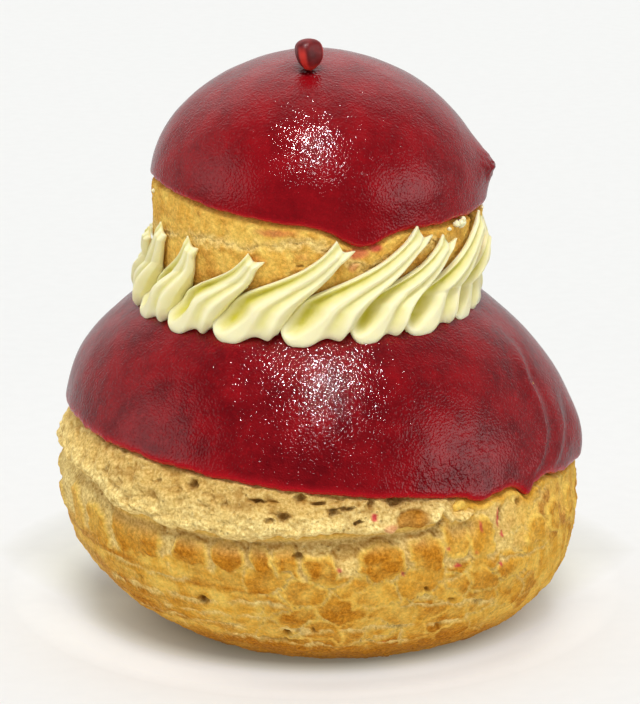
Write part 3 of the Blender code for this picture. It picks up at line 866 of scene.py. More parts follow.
def make_torn_crumb(material):
    """The crumbly band torn open under the glaze, lying on the crust and overhanging it.

    A slab over the crust: drawn in under the glaze, it swells as it comes down to a lit
    lower edge that rounds under along a ragged line, and sinks into the crust where it
    isn't bold.  Soft noise gives its clumps; its clefts follow the zero lines of another
    noise; cavities go in.
    """
    columns = 760
    rows = 60
    azimuth = front_heavy(columns, 0.35)[None, :]
    circle = ring_of(azimuth, LARGE.radius, 26.0)
    ledge = ledge_height(azimuth)
    ledge = ledge + 0.5 * layered_noise(circle, 2.6, 121) + 0.25 * soft_noise(circle, 0.8, 127)
    top = large_rim(azimuth) + 0.9
    share = np.linspace(0.0, 1.0, rows)[:, None]
    level = top + (ledge - top) * share
    azimuth = azimuth + 0.0 * share
    polar = polar_at(LARGE, level)
    base = bun_skin(LARGE, azimuth, polar)
    height = base[..., 2]
    arc = arc_of(LARGE)
    shake, coarse, fine = noises(base, (1.1, 131), (3.2, 141), (0.7, 151))
    shake = 0.5 * shake
    clump = layered_noise(base * np.array([1.0, 1.0, 1.3]), 1.5, 145, 2)
    seam = np.abs(layered_noise(base * np.array([1.0, 1.0, 2.4]), 5.0, 155, 2) + 0.12 * fine)
    cleft = (1.0 - ramp(seam, 0.0, 0.32)) * ramp(layered_noise(base, 3.0, 157), -0.1, 0.5)
    near_azimuth = azimuth + 0.7 * shake / arc
    cavity = strongest(CAVITIES + rear_marks(12, 27.5, 30.5, 0.9, 0.5, 163), arc,
                       near_azimuth, height + 0.6 * shake, -0.25, 0.65)
    bubble = ramp(patch_depth(BLISTER, arc, azimuth + 0.3 * shake / arc, height), 0.0, 0.35)
    stain = strongest(SMEARS, arc, near_azimuth, height + 0.5 * shake, -0.2, 0.5)
    boldness = ledge_boldness(azimuth, base)
    rounded = np.sqrt(np.clip(1.0 - ramp(share, 0.84, 1.0) ** 2, 0.0, 1.0))
    down = np.clip(large_rim(azimuth) - height, 0.0, 9.0)
    side = left_tuck(azimuth)
    lift = -0.60 + 1.05 * ramp(down, 0.2, 4.2) - 0.75 * side * (1.0 - ramp(down, 4.0, 8.0))
    lift = lift + 0.30 * bump_at(share, 0.86, 0.10) + 0.26 * coarse + 0.28 * clump + 0.16 * fine
    lift = lift - 0.45 * cleft - 1.1 * cavity - 0.6 * bubble
    tuck = 0.9 * ramp(height - large_rim(azimuth), -0.6, 0.5)
    out = (lift * rounded - 0.55 * (1.0 - rounded)) * boldness - 1.3 * (1.0 - boldness) - tuck
    skin = bun_skin(LARGE, azimuth, polar, out)
    inside = [bun_skin(LARGE, azimuth[0], polar[place], -2.6) for place in (-1, 0)]
    rings = np.concatenate([skin, np.array(inside)])
    # Away from the lit lower edge, up under the glaze's edge, the crumb is painted browner, darker and less
    # pale: painted shade.  The shade term also darkens the hollows between clumps, the clefts and the blister
    # as painted shade, and hollow paints shade into the cavities.
    lit = ramp(share, 0.35, 0.85)
    browning_and_shade = 0.85 * bubble + (0.22 + 0.30 * ramp(coarse, 0.1, 0.9)) * (1.0 - lit)
    shade = (0.34 - 0.30 * side) * (1.0 - lit) + 0.36 * ramp(-clump, 0.1, 0.9)
    fields = {
        "browning_and_shade": browning_and_shade + 0.35 * bump_at(azimuth, 22.0, 12.0),
        "rim": 0.25 * side,
        "crumb": (0.98 - 0.26 * (1.0 - lit) - 0.80 * bubble + 0.14 * coarse) * (0.3 + 0.7 * boldness),
        "shade": shade + 0.25 * cleft + 0.30 * bubble,
        "hollow": 0.62 * cavity,
        "stain": 0.9 * stain,
    }
    fields = {name: np.concatenate([values, np.zeros((2, columns))]).ravel()
              for name, values in clipped(fields).items()}
    points = rings.reshape(-1, 3)
    total = len(rings)
    closing = wrapped_faces(2, columns)     # from the last ring back to the first
    closing = np.where(closing < columns, closing + (total - 1) * columns, closing - columns)
    faces = [wrapped_faces(total, columns), closing]
    return make_piece("torn_crumb_band", points, faces, material, (), fields)


# The crack that runs round the small bun: azimuth and height of its turns.
UPPER_CRACK = ((-100, 61.5), (-72, 61.2), (-55, 61.8), (-38, 62.7), (-26, 62.2), (-12, 62.9),
               (0, 63.4), (9, 60.8), (20, 58.8), (28, 60.6), (40, 61.8), (60, 61.0))
UPPER_HOLES = patches(
    (71, 63.3, 0.9, 2.3), (18, 58.2, 0.8, 0.4), (24, 59.0, 0.7, 0.3),
    (77, 61.5, 0.4, 1.0), (-5, 60.1, 0.7, 0.25, 0.6),
) + tuple(mark._replace(height=mark.height + 38.0) for mark in rear_marks(6, 20.0, 25.0, 0.6, 0.4, 261))
UPPER_SMEARS = patches(
    (14, 61.6, 2.0, 0.9, 0.8), (21, 62.2, 1.2, 0.7, 0.9), (-14, 64.6, 3.0, 0.6, 0.5),
    (13, 59.6, 0.7, 0.6, 0.45), (-20, 60.5, 1.6, 0.8, 0.2), (-4, 61.4, 1.0, 0.6, 0.2),
)
CLUSTER = Patch(20, 58.6, 2.8, 1.5)     # a torn place with pinholes


def upper_crust_relief(azimuth, height, points):
    """Relief in mm and painted fields of the small crust: smooth, mottled, finely cracked.

    The crack is a broken line shaken by noise, with pale torn crumb on both sides.
    """
    arc = arc_of(SMALL)
    shake, coarse, medium, fine = noises(points, (1.2, 221), (3.6, 231), (1.5, 235), (0.7, 241))
    shake = 0.4 * shake
    tall = soft_noise(points * np.array([1.0, 1.0, 0.35]), 1.6, 251)
    turns = np.array(UPPER_CRACK, float)
    line = np.interp(azimuth, turns[:, 0], turns[:, 1])
    reach = ramp(azimuth, -100.0, -80.0) * (1.0 - ramp(azimuth, 45.0, 62.0))
    away = np.abs(height + 1.5 * shake - line)
    crack = (1.0 - ramp(away, 0.04, 0.22)) * reach * ramp(medium, -0.9, 0.1)
    torn = (1.0 - ramp(away, 0.2, 1.2)) * reach * ramp(coarse, -0.9, 0.2)
    cluster = patch_depth(CLUSTER, arc, azimuth + shake / arc, height + shake)
    torn = np.maximum(torn, 0.8 * ramp(cluster, 0.0, 0.5))
    near_azimuth = azimuth + 0.6 * shake / arc
    hole = strongest(UPPER_HOLES, arc, near_azimuth, height + 0.5 * shake, -0.1, 0.5)
    stain = strongest(UPPER_SMEARS, arc, near_azimuth, height + 0.6 * shake, -0.3, 0.6)
    relief = 0.14 * coarse + 0.11 * medium + 0.09 * fine + 0.05 * tall
    relief = relief - 0.20 * crack - 0.08 * torn - 0.7 * hole
    # Towards its foot, where it sits in the cream, the small crust is browner, and its shade field adds
    # painted shade there and in the torn crumb's pores; hollow is painted shade in the crack and the holes.
    low = 1.0 - ramp(height, 55.0, 61.0)
    browning_and_shade = 0.15 + 0.42 * coarse + 0.34 * medium + 0.22 * fine + 0.18 * tall + 0.25 * low
    fields = {
        "browning_and_shade": browning_and_shade * (1.0 - 0.8 * torn),
        "rim": 0.30 * ramp(-coarse, 0.1, 0.8),
        "crumb": 0.55 * torn + 0.10,
        "shade": 0.15 * torn * ramp(fine, 0.0, 0.8) + 0.2 * (1.0 - ramp(height, 54.0, 57.0)),
        "hollow": 0.55 * crack * ramp(fine, -0.5, 0.5) + 0.85 * hole,
        "stain": 0.85 * stain,
    }
    return relief, clipped(fields)


# ---------------- the glaze caps

# The two pleats on the right of the large cap: how far they stand out, the heights between
# which they run, and the heights and azimuths of their crests.
PLEATS = (
    (0.42, 28.5, 47.0,
     (28.0, 29.6, 31.1, 33.6, 37.4, 40.8, 44.2), (54.0, 56.6, 60.7, 64.2, 66.0, 66.7, 72.2)),
    (0.32, 28.0, 38.0, (28.6, 30.5, 32.8, 36.8), (64.5, 70.0, 73.6, 77.0)),
)
# Shallow rises and dents of the caps: rise, azimuth, height, half width (degrees) and half
# height.
LARGE_DENTS = (
    (-0.28, 31.0, 31.0, 5.5, 2.4), (-0.20, 39.0, 35.0, 6.0, 2.8), (0.16, 25.0, 35.0, 5.0, 3.0),
    (0.38, 24.0, 44.0, 12.0, 8.0), (-0.38, -10.0, 44.0, 12.0, 8.0),
    (-0.15, -12.0, 34.0, 8.0, 1.6), (0.25, 140.0, 36.0, 9.0, 5.0), (-0.25, -140.0, 33.0, 8.0, 4.0),
    (1.25, 90.0, 35.0, 24.0, 9.0), (0.95, -92.0, 41.5, 26.0, 5.5), (-0.20, 80.0, 47.0, 8.0, 3.0),
)
SMALL_DENTS = ((0.30, -36.0, 78.0, 30.0, 7.0), (-0.30, 36.0, 78.0, 30.0, 7.0))
# Where the glaze's skin is finely rippled.
RIPPLES = patches(
    (30, 31.5, 9.5, 4.2), (40, 35.5, 5.0, 3.6, 0.7), (-12, 34.6, 4.5, 1.2, 0.6),
    (-26, 31.6, 3.2, 1.2, 0.35), (150, 38.0, 8.0, 4.0, 0.8), (-150, 40.0, 7.0, 3.5, 0.6),
)


def dented(relief, azimuth, height, dents):
    """A relief with rises and dents added: a bell round the bun times a bell in height."""
    for rise, middle, level, wide, tall in dents:
        relief = relief + rise * bell_round(azimuth, middle, wide) * bump_at(height, level, tall)
    return relief


def large_glaze_relief(azimuth, height, points):
    """Slow waves, dents and two pleats on the right of the large cap, in mm.

    A pleat rises gently from the left to its crest and drops steeply into a trough.
    """
    relief = 0.14 * soft_noise(points, 11.0, 301) + 0.06 * soft_noise(points, 3.5, 307)
    for size, low, high, levels, azimuths in PLEATS:
        off = azimuth - np.interp(height, levels, azimuths)
        reach = ramp(height, low, low + 2.0) * (1.0 - ramp(height, high - 6.0, high))
        crest = np.where(off < 0.0, bump_at(off, 0.0, 4.0), bump_at(off, 0.0, 1.1))
        relief = relief + size * reach * (crest - 0.55 * bump_at(off, 3.6, 2.2))
    return dented(relief, azimuth, height, LARGE_DENTS)


def small_glaze_relief(azimuth, height, points):
    """Slow waves on the small cap, a rise and a hollow in front, and the torn lump at the right."""
    relief = 0.12 * soft_noise(points, 8.0, 311) + 0.05 * soft_noise(points, 2.6, 317)
    lump = bell_round(azimuth, 88.0, 9.0) * bump_at(height, 69.3, 1.4)
    relief = dented(relief, azimuth, height, SMALL_DENTS)
    return relief + lump * (0.45 + 0.45 * layered_noise(points, 0.9, 319))


def make_glaze(name, node_name, bun, rim, thickness, describe, columns, rows, seed, paleness, seed_foot,
               material):
    """A glaze cap: the outer dome, a rounded edge and the inner dome, closed at both poles.

    The outer dome's rings share the angle from the top to the rim.  The edge is a half
    turn of cosine and sine from the outer face to the inner one, frayed by fine noise.
    The glaze is thin just above its edge, by at least `paleness` everywhere, and a small
    ring round the foot of the seed, which is at `seed_foot`, gets a painted shadow.
    """
    azimuth = front_heavy(columns, 0.25)[None, :]
    circle = ring_of(azimuth, bun.radius, 0.0)
    level = rim(azimuth) + 0.16 * layered_noise(circle, 3.0, seed)
    level = level + 0.09 * layered_noise(circle, 0.9, seed + 5, 2)
    edge = 0.5 * thickness
    last = polar_at(bun, level + edge)
    share = np.linspace(0.004, 1.0, rows)[:, None] ** 0.92
    polar = last * share
    azimuth = azimuth + 0.0 * share
    base = bun_skin(bun, azimuth, polar)
    height = base[..., 2]
    relief = describe(azimuth, height, base)
    away = np.hypot(base[..., 0] - seed_foot[0], base[..., 1] - seed_foot[1])
    # A painted shadow round the seed's foot: full within 0.7 mm, gone by 1.6 mm, only above the foot's level.
    seed_shadow = (1.0 - ramp(away, 0.7, 1.6)) * (height > seed_foot[2])
    outer = bun_skin(bun, azimuth, polar, relief)
    turn = np.linspace(0.0, math.pi, 9)[1:-1, None]
    rim_polar = polar_at(bun, level + edge - edge * np.sin(turn))
    rim_out = relief[-1] - edge * (1.0 - np.cos(turn))
    rounded = bun_skin(bun, azimuth[:1] + 0.0 * turn, rim_polar, rim_out)
    inner = [bun_skin(bun, azimuth[0], last[0] * part, relief[-1] * fade - thickness)
             for part, fade in ((1.0, 1.0), (0.95, 0.5), (0.8, 0.0), (0.55, 0.0), (0.3, 0.0), (0.05, 0.0))]
    rings = np.concatenate([outer, rounded, np.array(inner)])
    hidden = np.zeros((len(rounded) + len(inner), columns))
    thin = np.maximum(paleness, 0.6 * (1.0 - ramp(height - level, 0.2, 1.7)))
    thin = np.concatenate([thin, np.ones((len(rounded), columns)), np.zeros((len(inner), columns))])
    rippled = strongest(RIPPLES, arc_of(bun), azimuth, height, -0.2, 0.6)
    fields = closed_fields({
        "thin": thin,
        "seed_shadow": np.concatenate([seed_shadow, hidden]),
        "ripple": np.concatenate([rippled, hidden]),
    })
    points, faces = closed_body(rings)
    return make_piece(name, points, faces, material, [node_name], fields)


# ---------------- the cream collar

FLAMES = 17
FLAME_FIRST = -11.0                     # azimuth of the front flame's left corner before its turn
FLAME_BASE = 52.1                       # height of the corner
# How each flame differs from the mean: turn and longer sweep (degrees), rise (mm), and
# the lengths of the two points drawn out at its tip (mm).
FLAME_HABITS = (
    (2.5, 3.0, -0.5, 0.6, 1.4), (3.5, -7.0, -2.4, 0.5, 1.8), (0.7, -1.0, -1.0, 0.6, 0.6),
    (3.3, -10.0, -5.0, 0.3, 0.4), (-1.0, 2.0, 0.4, 1.0, 1.0), (1.2, -2.0, -0.9, 0.4, 1.6),
    (0.0, 3.0, 0.0, 0.9, 1.2), (-1.4, -5.0, -1.6, 0.3, 1.0), (0.8, 2.0, 0.3, 1.1, 1.4),
    (0.0, -2.0, -0.8, 0.6, 0.9), (-0.8, -4.0, -0.4, 0.9, 1.5), (-1.0, -8.0, -5.0, 0.0, 0.2),
    (1.0, -10.0, -4.2, 0.0, 0.2), (0.0, -13.0, -2.0, 0.1, 0.5), (1.5, -17.0, -2.6, 0.3, 0.8),
    (2.2, -13.0, -3.4, 0.1, 1.1), (0.6, -3.0, -1.5, 0.5, 1.2),
)
# Control points of a flame's two edges, from its left corner: degrees and mm.
TOP_EDGE = ((0.0, 0.2), (6.0, 4.6), (26.0, 5.4), (42.0, 12.9))
LOW_EDGE = ((21.8, -0.7), (26.5, 1.9), (35.0, 5.4), (45.4, 10.7))
# The front of a flame across its width, from the top edge to the low one: edge, its
# rim, first valley, first crest, its shoulder, second valley, second crest, edge.
PROFILE_AT_BASE = (0.85, 0.95, 0.97, 1.0, 0.97, 0.80, 0.92, 0.60)
PROFILE_ABOVE = (0.30, 0.46, 0.18, 1.0, 0.95, 0.70, 0.92, 0.50)
PLACES_AT_BASE = (0.0, 0.01, 0.02, 0.05, 0.42, 0.68, 0.82, 1.0)
PLACES_ABOVE = (0.0, 0.04, 0.20, 0.46, 0.52, 0.65, 0.82, 1.0)
# VALLEYS gives the painted shade in the cream's folds across a flame's front.
VALLEYS = (0.0, 0.25, 1.0, 0.0, 0.05, 0.55, 0.0, 0.35)      # where the colour deepens
PROFILE_REACH = 0.20                    # share of the length over which the profile changes
# Drop of the star's lobes below the line between the corners, mm, and its places.
LOBES = (3.3, 3.3, 1.65, 1.9, 1.0, 0.0)
LOBE_PLACES = (0.0, 0.30, 0.67, 0.82, 0.94, 1.0)
LOBE_CORNER = 0.22                      # share of the width over which the first lobe rounds down
LOBE_REACH = 0.26                       # share of the length over which the lobes fade
FLAME_DEPTH = (3.0, 1.6)                # thickness in front of the edges, base and tip
FLAME_RADIUS = (23.7, 23.0)             # of the edges, base and tip
COLLAR_SHIFT = -1.3                     # the foot of the collar sits a little left of the axis
SIDE_DRAW = 1.2                         # the collar is narrower from side to side
BLADE_TILT = 2.2                        # each flame's low edge lies over its neighbour
POINT_START = 0.86                      # share of the length at which the tip's points begin
WALL_ROOM = 0.25                        # least distance from the small bun
CROWN_ROOM = 0.05                       # least height above the large one


def bezier(corners, share):
    """Cubic curve through its first and last control points."""
    rest = 1.0 - share
    weights = (rest ** 3, 3.0 * rest ** 2 * share, 3.0 * rest * share ** 2, share ** 3)
    across = sum(weight * corner[0] for weight, corner in zip(weights, corners))
    up = sum(weight * corner[1] for weight, corner in zip(weights, corners))
    return across, up


def crown_height(x, y):
    """Height of the large bun's crown over each point of the table."""
    share = np.clip(np.hypot(x - 0.75 * LARGE.lean_up, y) / LARGE.radius, 0.0, 1.0)
    rise = LARGE.crown * (1.0 - share ** LARGE.crown_power) ** (1.0 / LARGE.crown_power)
    return LARGE.waist + np.minimum(rise, LARGE.seat - LARGE.waist)


def room_of(number):
    """Degrees from a flame's left corner to the next one's."""
    return 360.0 / FLAMES + FLAME_HABITS[(number + 1) % FLAMES][0] - FLAME_HABITS[number][0]


def flame_rings(number):
    """Closed sections of one piped flame, base to tip, and the painted shade at each point.

    Each section runs across the front from the top edge to the low edge and back
    behind.  Its front follows the profile's crests and valleys, joined by smooth steps
    and rounded at both edges.  Lobes hang at the base, the depth rounds off over the
    first tenth, and points are drawn out at both corners of the tip.  What would cut
    into the buns is pushed out of them.
    """
    turn, longer, higher, left_point, right_point = FLAME_HABITS[number]
    rows = 100
    columns = 120
    share = np.linspace(0.0, 1.0, rows)[:, None] ** 1.1
    angle = np.linspace(0.0, TURN, columns, endpoint=False)[None, :]
    across = 0.5 - 0.5 * np.cos(angle)
    front = np.sin(angle) >= 0.0
    stretch = longer / TOP_EDGE[-1][0]
    lift = higher / TOP_EDGE[-1][1]
    top_azimuth, top_height = bezier(TOP_EDGE, share)
    low_azimuth, low_height = bezier(LOW_EDGE, share)
    room = 1.0 + (room_of(number) / (360.0 / FLAMES) - 1.0) * (1.0 - share) ** 2
    middle = 0.5 * (top_azimuth + low_azimuth) * (1.0 + stretch * share)
    azimuth = (middle + (low_azimuth - top_azimuth) * (across - 0.5)) * room
    height = (top_height + (low_height - top_height) * across) * (1.0 + lift * share)

    bent = ramp(share, 0.0, PROFILE_REACH)
    places, levels = (
        [(1.0 - bent) * first + bent * second for first, second in zip(*rows_of)]
        for rows_of in ((PLACES_AT_BASE, PLACES_ABOVE), (PROFILE_AT_BASE, PROFILE_ABOVE)))
    profile = eased(across, places, levels)
    valley = eased(across, places, VALLEYS)
    start = 1.0 - ramp(share, 0.0, LOBE_REACH)
    corner = np.sqrt(1.0 - (1.0 - np.minimum(across / LOBE_CORNER, 1.0)) ** 2)
    height = height - eased(across, LOBE_PLACES, LOBES) * corner * start

    pull = ramp(share, POINT_START, 1.0) ** 1.7
    left = pull * left_point * bump_at(across, 0.0, 0.20)
    right = pull * right_point * bump_at(across, 1.0, 0.22)
    azimuth = azimuth + 2.2 * right - 0.5 * left
    height = height + 0.5 * left + 0.5 * right
    height = height - 0.15 * pull * bump_at(across, 0.5, 0.3) * (left_point + right_point)
    height = FLAME_BASE + height
    azimuth = FLAME_FIRST + 360.0 * number / FLAMES + turn + azimuth

    arch = (1.0 - np.abs(2.0 * across - 1.0) ** 7) ** (1.0 / 7.0)
    depth = FLAME_DEPTH[0] + (FLAME_DEPTH[1] - FLAME_DEPTH[0]) * ramp(share, 0.0, 1.0)
    start_round = np.sqrt(np.clip(1.0 - (1.0 - np.minimum(share / 0.08, 1.0)) ** 2, 0.0, 1.0))
    end_round = 1.0 - 0.55 * ramp(share, 0.93, 1.0)
    depth = depth * (0.62 + 0.38 * start_round) * end_round
    profile = profile + 0.35 * (1.0 - profile) * ramp(share, 0.35, 0.9)
    tilt = BLADE_TILT * (across - 0.5) * (1.0 - 0.7 * share) * ramp(share, 0.0, 0.15)
    radius = FLAME_RADIUS[0] + (FLAME_RADIUS[1] - FLAME_RADIUS[0]) * share + tilt
    radius = radius - SIDE_DRAW * np.sin(np.radians(azimuth)) ** 4
    radius = radius + np.where(front, depth * profile * arch, -0.8 * depth * arch)
    angle = np.radians(azimuth)
    x = radius * np.sin(angle) + COLLAR_SHIFT * (1.0 - ramp(share, 0.3, 0.8))
    y = -radius * np.cos(angle)
    level = np.clip(height, SMALL.foot + 0.3, SMALL.waist)
    wall = bun_skin(SMALL, azimuth, polar_at(SMALL, level), WALL_ROOM)
    wall = np.hypot(wall[..., 0], wall[..., 1]) + np.where(front, 0.75 * depth * profile * arch, 0.0)
    push = np.maximum(wall / np.hypot(x, y), 1.0)
    x = x * push
    y = y * push
    height = np.maximum(height, crown_height(x, y) + CROWN_ROOM)
    # Painted shade: in the front's valleys and over the whole hidden back, none at the very base and less
    # towards the tip.
    fold_shade = np.where(front, valley, 0.6)
    fold_shade = fold_shade * ramp(share, 0.02, 0.14) * (1.0 - 0.40 * ramp(share, 0.45, 0.95))
    return np.stack([x, y, height], axis=-1), fold_shade


def make_flame(number, material):
    """One flame: its sections joined, each end closed by a strip between front and back."""
    rings, fold_shade = flame_rings(number)
    rows, columns = rings.shape[:2]
    points = rings.reshape(-1, 3)
    half = columns // 2
    near = np.arange(1, half - 1)
    strip = np.stack([near, near + 1, columns - near - 1, columns - near], axis=-1)
    caps = np.array([[0, 1, columns - 1]])
    ends = np.array([[half - 1, half, half + 1]])
    body = wrapped_faces(rows, columns)
    last = (rows - 1) * columns
    faces = [body[:, ::-1], strip[:, ::-1], caps[:, ::-1], ends[:, ::-1],
             strip + last, caps + last, ends + last]
    name = f"piped_flame_{number + 1:02d}"
    return make_piece(name, points, faces, material, [f"cream_flame_{number + 1:02d}"],
                      {"fold_shade": fold_shade.ravel()})


# ---------------- the seed

SEED_LENGTH = 4.6
SEED_RADIUS = 1.926                     # mean radius of its widest ring
SEED_LEAN = math.radians(-9.0)
SEED_SETTLED = (0.4, 0.0, -0.25)        # how far it has moved and sunk into the glaze
SEED_WIDEST = 0.58                      # share of the height at which it is widest
SEED_EDGES = 1.1                        # phase that puts one soft edge in front, a little left
SEED_EDGE_RISE = 0.15                   # how far the edges stand out, as a share of the radius
SEED_FLATNESS = 0.9                     # from front to back, as a share of its width


def make_seed():
    """The seed: a rounded top over a pointed foot, with three soft edges round it.

    Above the widest ring the radius is the square root of 1 - share^3; from there to the
    foot it is a sine.  A cosine of three times the azimuth raises the edges.
    """
    low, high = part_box("fruit_seed")
    middle = np.array((low + high) / 2.0) / MM + np.array(SEED_SETTLED)
    polar = np.linspace(0.04, math.pi - 0.04, 64)[:, None]
    azimuth = np.linspace(0.0, TURN, 84, endpoint=False)[None, :]
    up = np.cos(polar)
    over = (0.5 + 0.5 * up - SEED_WIDEST) / (1.0 - SEED_WIDEST)
    under = (0.5 + 0.5 * up) / SEED_WIDEST
    above = np.sqrt(np.clip(1.0 - np.clip(over, 0.0, 1.0) ** 3.0, 0.0, 1.0))
    below = np.sin(0.5 * math.pi * np.clip(under, 0.0, 1.0) ** 0.62)
    corner = np.cos(3.0 * azimuth + SEED_EDGES) + 0.0 * polar
    radius = SEED_RADIUS * np.minimum(above, below) * (1.0 + SEED_EDGE_RISE * corner * np.sin(polar))
    x = radius * np.sin(azimuth)
    y = -SEED_FLATNESS * radius * np.cos(azimuth)
    z = up * SEED_LENGTH / 2.0 + 0.0 * azimuth
    leaning_x = x * math.cos(SEED_LEAN) + z * math.sin(SEED_LEAN)
    leaning_z = z * math.cos(SEED_LEAN) - x * math.sin(SEED_LEAN)
    points, faces = closed_body(np.stack([leaning_x, y, leaning_z], axis=-1) + middle)
    edge = ramp(corner, 0.45, 1.0) * ramp(0.75 - up, 0.0, 0.6) + 0.8 * ramp(-up, 0.45, 0.9)
    fields = closed_fields({"edge": np.clip(edge, 0.0, 1.0)})
    return make_piece("seed_flesh", points, faces, seed_flesh(), ["fruit_seed"], fields)


# ---------------- the small bits

# Azimuth, height and size of each bit.
GLAZE_CRUMBS = (
    (82.5, 44.0, 0.9), (74.7, 42.3, 0.7), (69.2, 39.9, 0.8), (86.2, 34.7, 0.9), (70.5, 43.2, 0.5),
    (66.0, 40.6, 0.45), (-74.0, 41.0, 0.5), (133.0, 39.0, 1.0), (151.0, 44.0, 0.8),
    (-128.0, 37.0, 0.9), (178.0, 36.0, 0.7))
CREAM_BITS = (
    (52.6, 63.2, 0.8), (57.0, 63.6, 1.2), (60.0, 63.4, 1.5), (61.5, 63.9, 1.0), (42.0, 62.6, 0.6),
    (-78.0, 66.6, 0.7), (80.0, 64.0, 0.5), (-30.0, 57.2, 0.8), (-24.0, 56.6, 0.6))


def specks(name, places, bun, size, seed, material):
    """Small lumps lying on a bun: knobbly balls joined in one mesh.

    Each is a ball of four rings of six, its points moved in and out by up to a third.
    """
    polar = np.linspace(0.35, math.pi - 0.35, 4)[:, None]
    around = np.linspace(0.0, 360.0, 6, endpoint=False)[None, :]
    ball = ring_of(around, np.sin(polar), np.cos(polar))
    all_points = []
    all_faces = [[], []]
    first = 0
    for number, (azimuth, height, scale) in enumerate(places):
        foot = bun_skin(bun, np.array(float(azimuth)), polar_at(bun, np.array(float(height))), 0.12 * size)
        points, faces = closed_body(ball)
        shake = 1.0 + 0.35 * soft_noise(points * 3.0 + 17.0 * number, 1.0, seed)[:, None]
        all_points.append(foot + points * shake * size * scale * np.array([1.0, 1.0, 0.75]))
        all_faces[0].append(faces[0] + first)
        all_faces[1].append(np.concatenate(faces[1:]) + first)
        first += len(points)
    faces = [np.concatenate(part) for part in all_faces]
    blank = np.zeros(first)
    fields = {field: blank for field in CRUST_FIELDS + ("fold_shade",)}
    fields["crumb"] = blank + 0.4
    return make_piece(name, np.concatenate(all_points), faces, material, (), fields)


# ---------------- floor, light and camera

def make_floor():
    """A wide sheet of white paper at the level of the foot, left out of reflections."""
    reach = 30.0                    # metres
    corners = [(-reach, -reach, 0.0), (reach, -reach, 0.0), (reach, reach, 0.0), (-reach, reach, 0.0)]
    mesh = bpy.data.meshes.new("paper_floor")
    mesh.from_pydata(corners, [], [(0, 1, 2, 3)])
    mesh.materials.append(paper_floor())
    floor = bpy.data.objects.new("paper_floor", mesh)
    floor.visible_glossy = False
    bpy.context.scene.collection.objects.link(floor)


# Lamps: azimuth, elevation, size seen from the object (degrees), strength, mirrored or not.
LAMPS = {
    "soft_lamp": (0.0, 67.0, 26.0, 1.95, False),
    "spark_lamp": (8.0, 69.0, 6.0, 2.7, True),
    "low_spark_lamp": (8.0, 45.0, 7.0, 0.42, True),
}
SKY_STRENGTH = 0.66             # even light from all round
SKY_SEEN = 0.93                 # the white that shows behind the horizon
ROOM = (-0.2, 0.9, 0.10, 0.58)  # in reflections: from this Y to that, from dark to light
# What else the gloss reflects: the direction to it, the cosines from it at which its
# light starts and is full, and its strength.
SOFT_BOX = ((0.0, 0.71, 0.71), 0.74, 0.98, 0.7)
RIGHT_CARD = ((0.93, -0.33, 0.15), 0.88, 0.985, 2.3)
LEFT_CARD = ((-0.95, -0.20, 0.24), 0.87, 0.985, 1.15)


def make_light():
    """A wide lamp overhead for the shading and two small ones for the sparks.

    Even light comes from all round.  In reflections there are a soft box behind and a
    white card on each side, and it is dark in front.
    """
    for name, (azimuth, elevation, spread, strength, mirrored) in LAMPS.items():
        lamp = bpy.data.lights.new(name, "SUN")
        lamp.energy = strength
        lamp.angle = math.radians(spread)
        stand = bpy.data.objects.new(name, lamp)
        stand.rotation_euler = (math.radians(90.0 - elevation), 0.0, math.radians(azimuth))
        stand.visible_glossy = mirrored
        stand.visible_diffuse = not mirrored
        bpy.context.scene.collection.objects.link(stand)

    world = bpy.data.worlds.new("white_studio")
    world.use_nodes = True
    tree = world.node_tree
    tree.nodes.clear()
    toward = node(tree, "TexCoord", {}, "Generated")
    back = node(tree, "SeparateXYZ", {"Vector": toward}, "Y")
    mirrored = node(tree, "MapRange", {"Value": back, 1: ROOM[0], 2: ROOM[1], 3: ROOM[2], 4: ROOM[3]})
    for direction, edge, full, strength in (SOFT_BOX, RIGHT_CARD, LEFT_CARD):
        close = node(tree, "VectorMath", {0: toward, 1: direction}, "Value", operation="DOT_PRODUCT")
        glow = node(tree, "MapRange", {"Value": close, 1: edge, 2: full, 4: strength})
        mirrored = node(tree, "Math", {0: mirrored, 1: glow}, operation="ADD")
    white = (1.0, 1.0, 1.0, 1.0)
    even = node(tree, "Background", {"Color": white, "Strength": SKY_STRENGTH})
    seen = node(tree, "Background", {"Color": white, "Strength": SKY_SEEN})
    mirrored = node(tree, "Background", {"Color": white, "Strength": mirrored})
    glossy = node(tree, "LightPath", {}, "Is Glossy Ray")
    camera = node(tree, "LightPath", {}, "Is Camera Ray")
    both = node(tree, "MixShader", {0: glossy, 1: even, 2: mirrored})
    both = node(tree, "MixShader", {0: camera, 1: both, 2: seen})
    node(tree, "OutputWorld", {"Surface": both})
    bpy.context.scene.world = world


EYE_DISTANCE = 600.0            # from the camera to the point it looks at
EYE_ELEVATION = 15.0            # degrees
LOOK_AT = (0.64, 0.0, 41.4)
FOCAL_LENGTH = 210.8            # with a sensor 36 mm wide


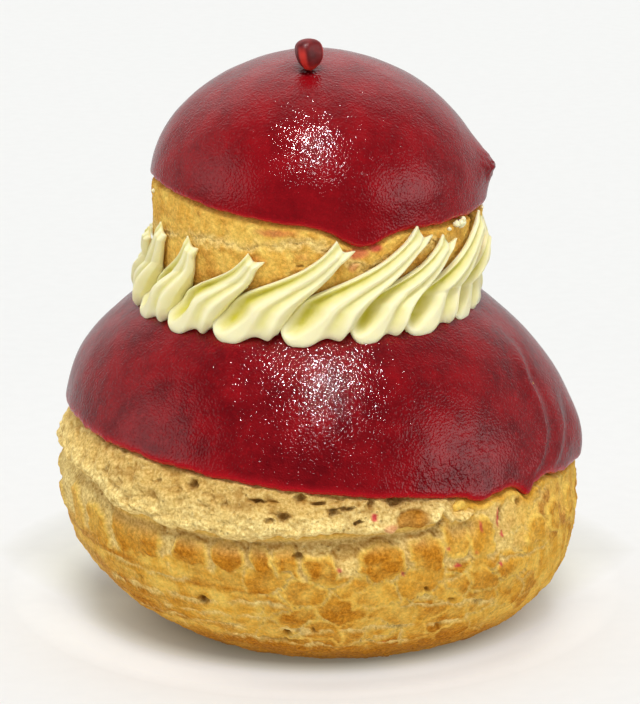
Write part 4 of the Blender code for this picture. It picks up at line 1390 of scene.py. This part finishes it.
def make_camera():
    """A long lens in front, looking a little down."""
    camera_data = bpy.data.cameras.new("camera")
    camera_data.lens = FOCAL_LENGTH
    camera_data.sensor_width = 36.0
    camera_data.clip_start = 0.01
    camera_data.clip_end = 100.0
    camera = bpy.data.objects.new("camera", camera_data)
    back = EYE_DISTANCE * math.cos(math.radians(EYE_ELEVATION))
    up = EYE_DISTANCE * math.sin(math.radians(EYE_ELEVATION))
    camera.location = (LOOK_AT[0] * MM, (LOOK_AT[1] - back) * MM, (LOOK_AT[2] + up) * MM)
    camera.rotation_euler = (math.radians(90.0 - EYE_ELEVATION), 0.0, 0.0)
    bpy.context.scene.collection.objects.link(camera)
    bpy.context.scene.camera = camera


def build():
    """Make every piece, the floor, the light and the camera."""
    bpy.context.scene.view_settings.view_transform = "Standard"
    crust = baked_choux()
    glaze = poured_glaze()
    cream = butter_cream()
    make_crust("lower_crust", "lower_choux", LARGE, large_rim, lower_crust_relief,
               cover=2.1, columns=720, rows=128, crowding=0.30, material=crust)
    make_torn_crumb(crust)
    make_crust("upper_crust", "upper_choux", SMALL, small_rim, upper_crust_relief,
               cover=2.0, columns=560, rows=76, crowding=0.25, material=crust)
    low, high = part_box("fruit_seed")
    seed_foot = ((low[0] + high[0]) / 2.0 / MM + 0.3, (low[1] + high[1]) / 2.0 / MM, SMALL.waist)
    make_glaze("large_glaze_cap", "lower_glaze", LARGE, large_rim, LARGE_GLAZE, large_glaze_relief,
               columns=540, rows=120, seed=401, paleness=0.0, seed_foot=seed_foot, material=glaze)
    make_glaze("small_glaze_cap", "upper_glaze", SMALL, small_rim, SMALL_GLAZE, small_glaze_relief,
               columns=440, rows=110, seed=421, paleness=0.16, seed_foot=seed_foot, material=glaze)
    for number in range(FLAMES):
        make_flame(number, cream)
    make_seed()
    specks("crumbs_on_glaze", GLAZE_CRUMBS, LARGE, 0.40, 501, crust)
    specks("cream_bits", CREAM_BITS, SMALL, 0.5, 511, cream)
    make_floor()
    make_light()
    make_camera()


build()
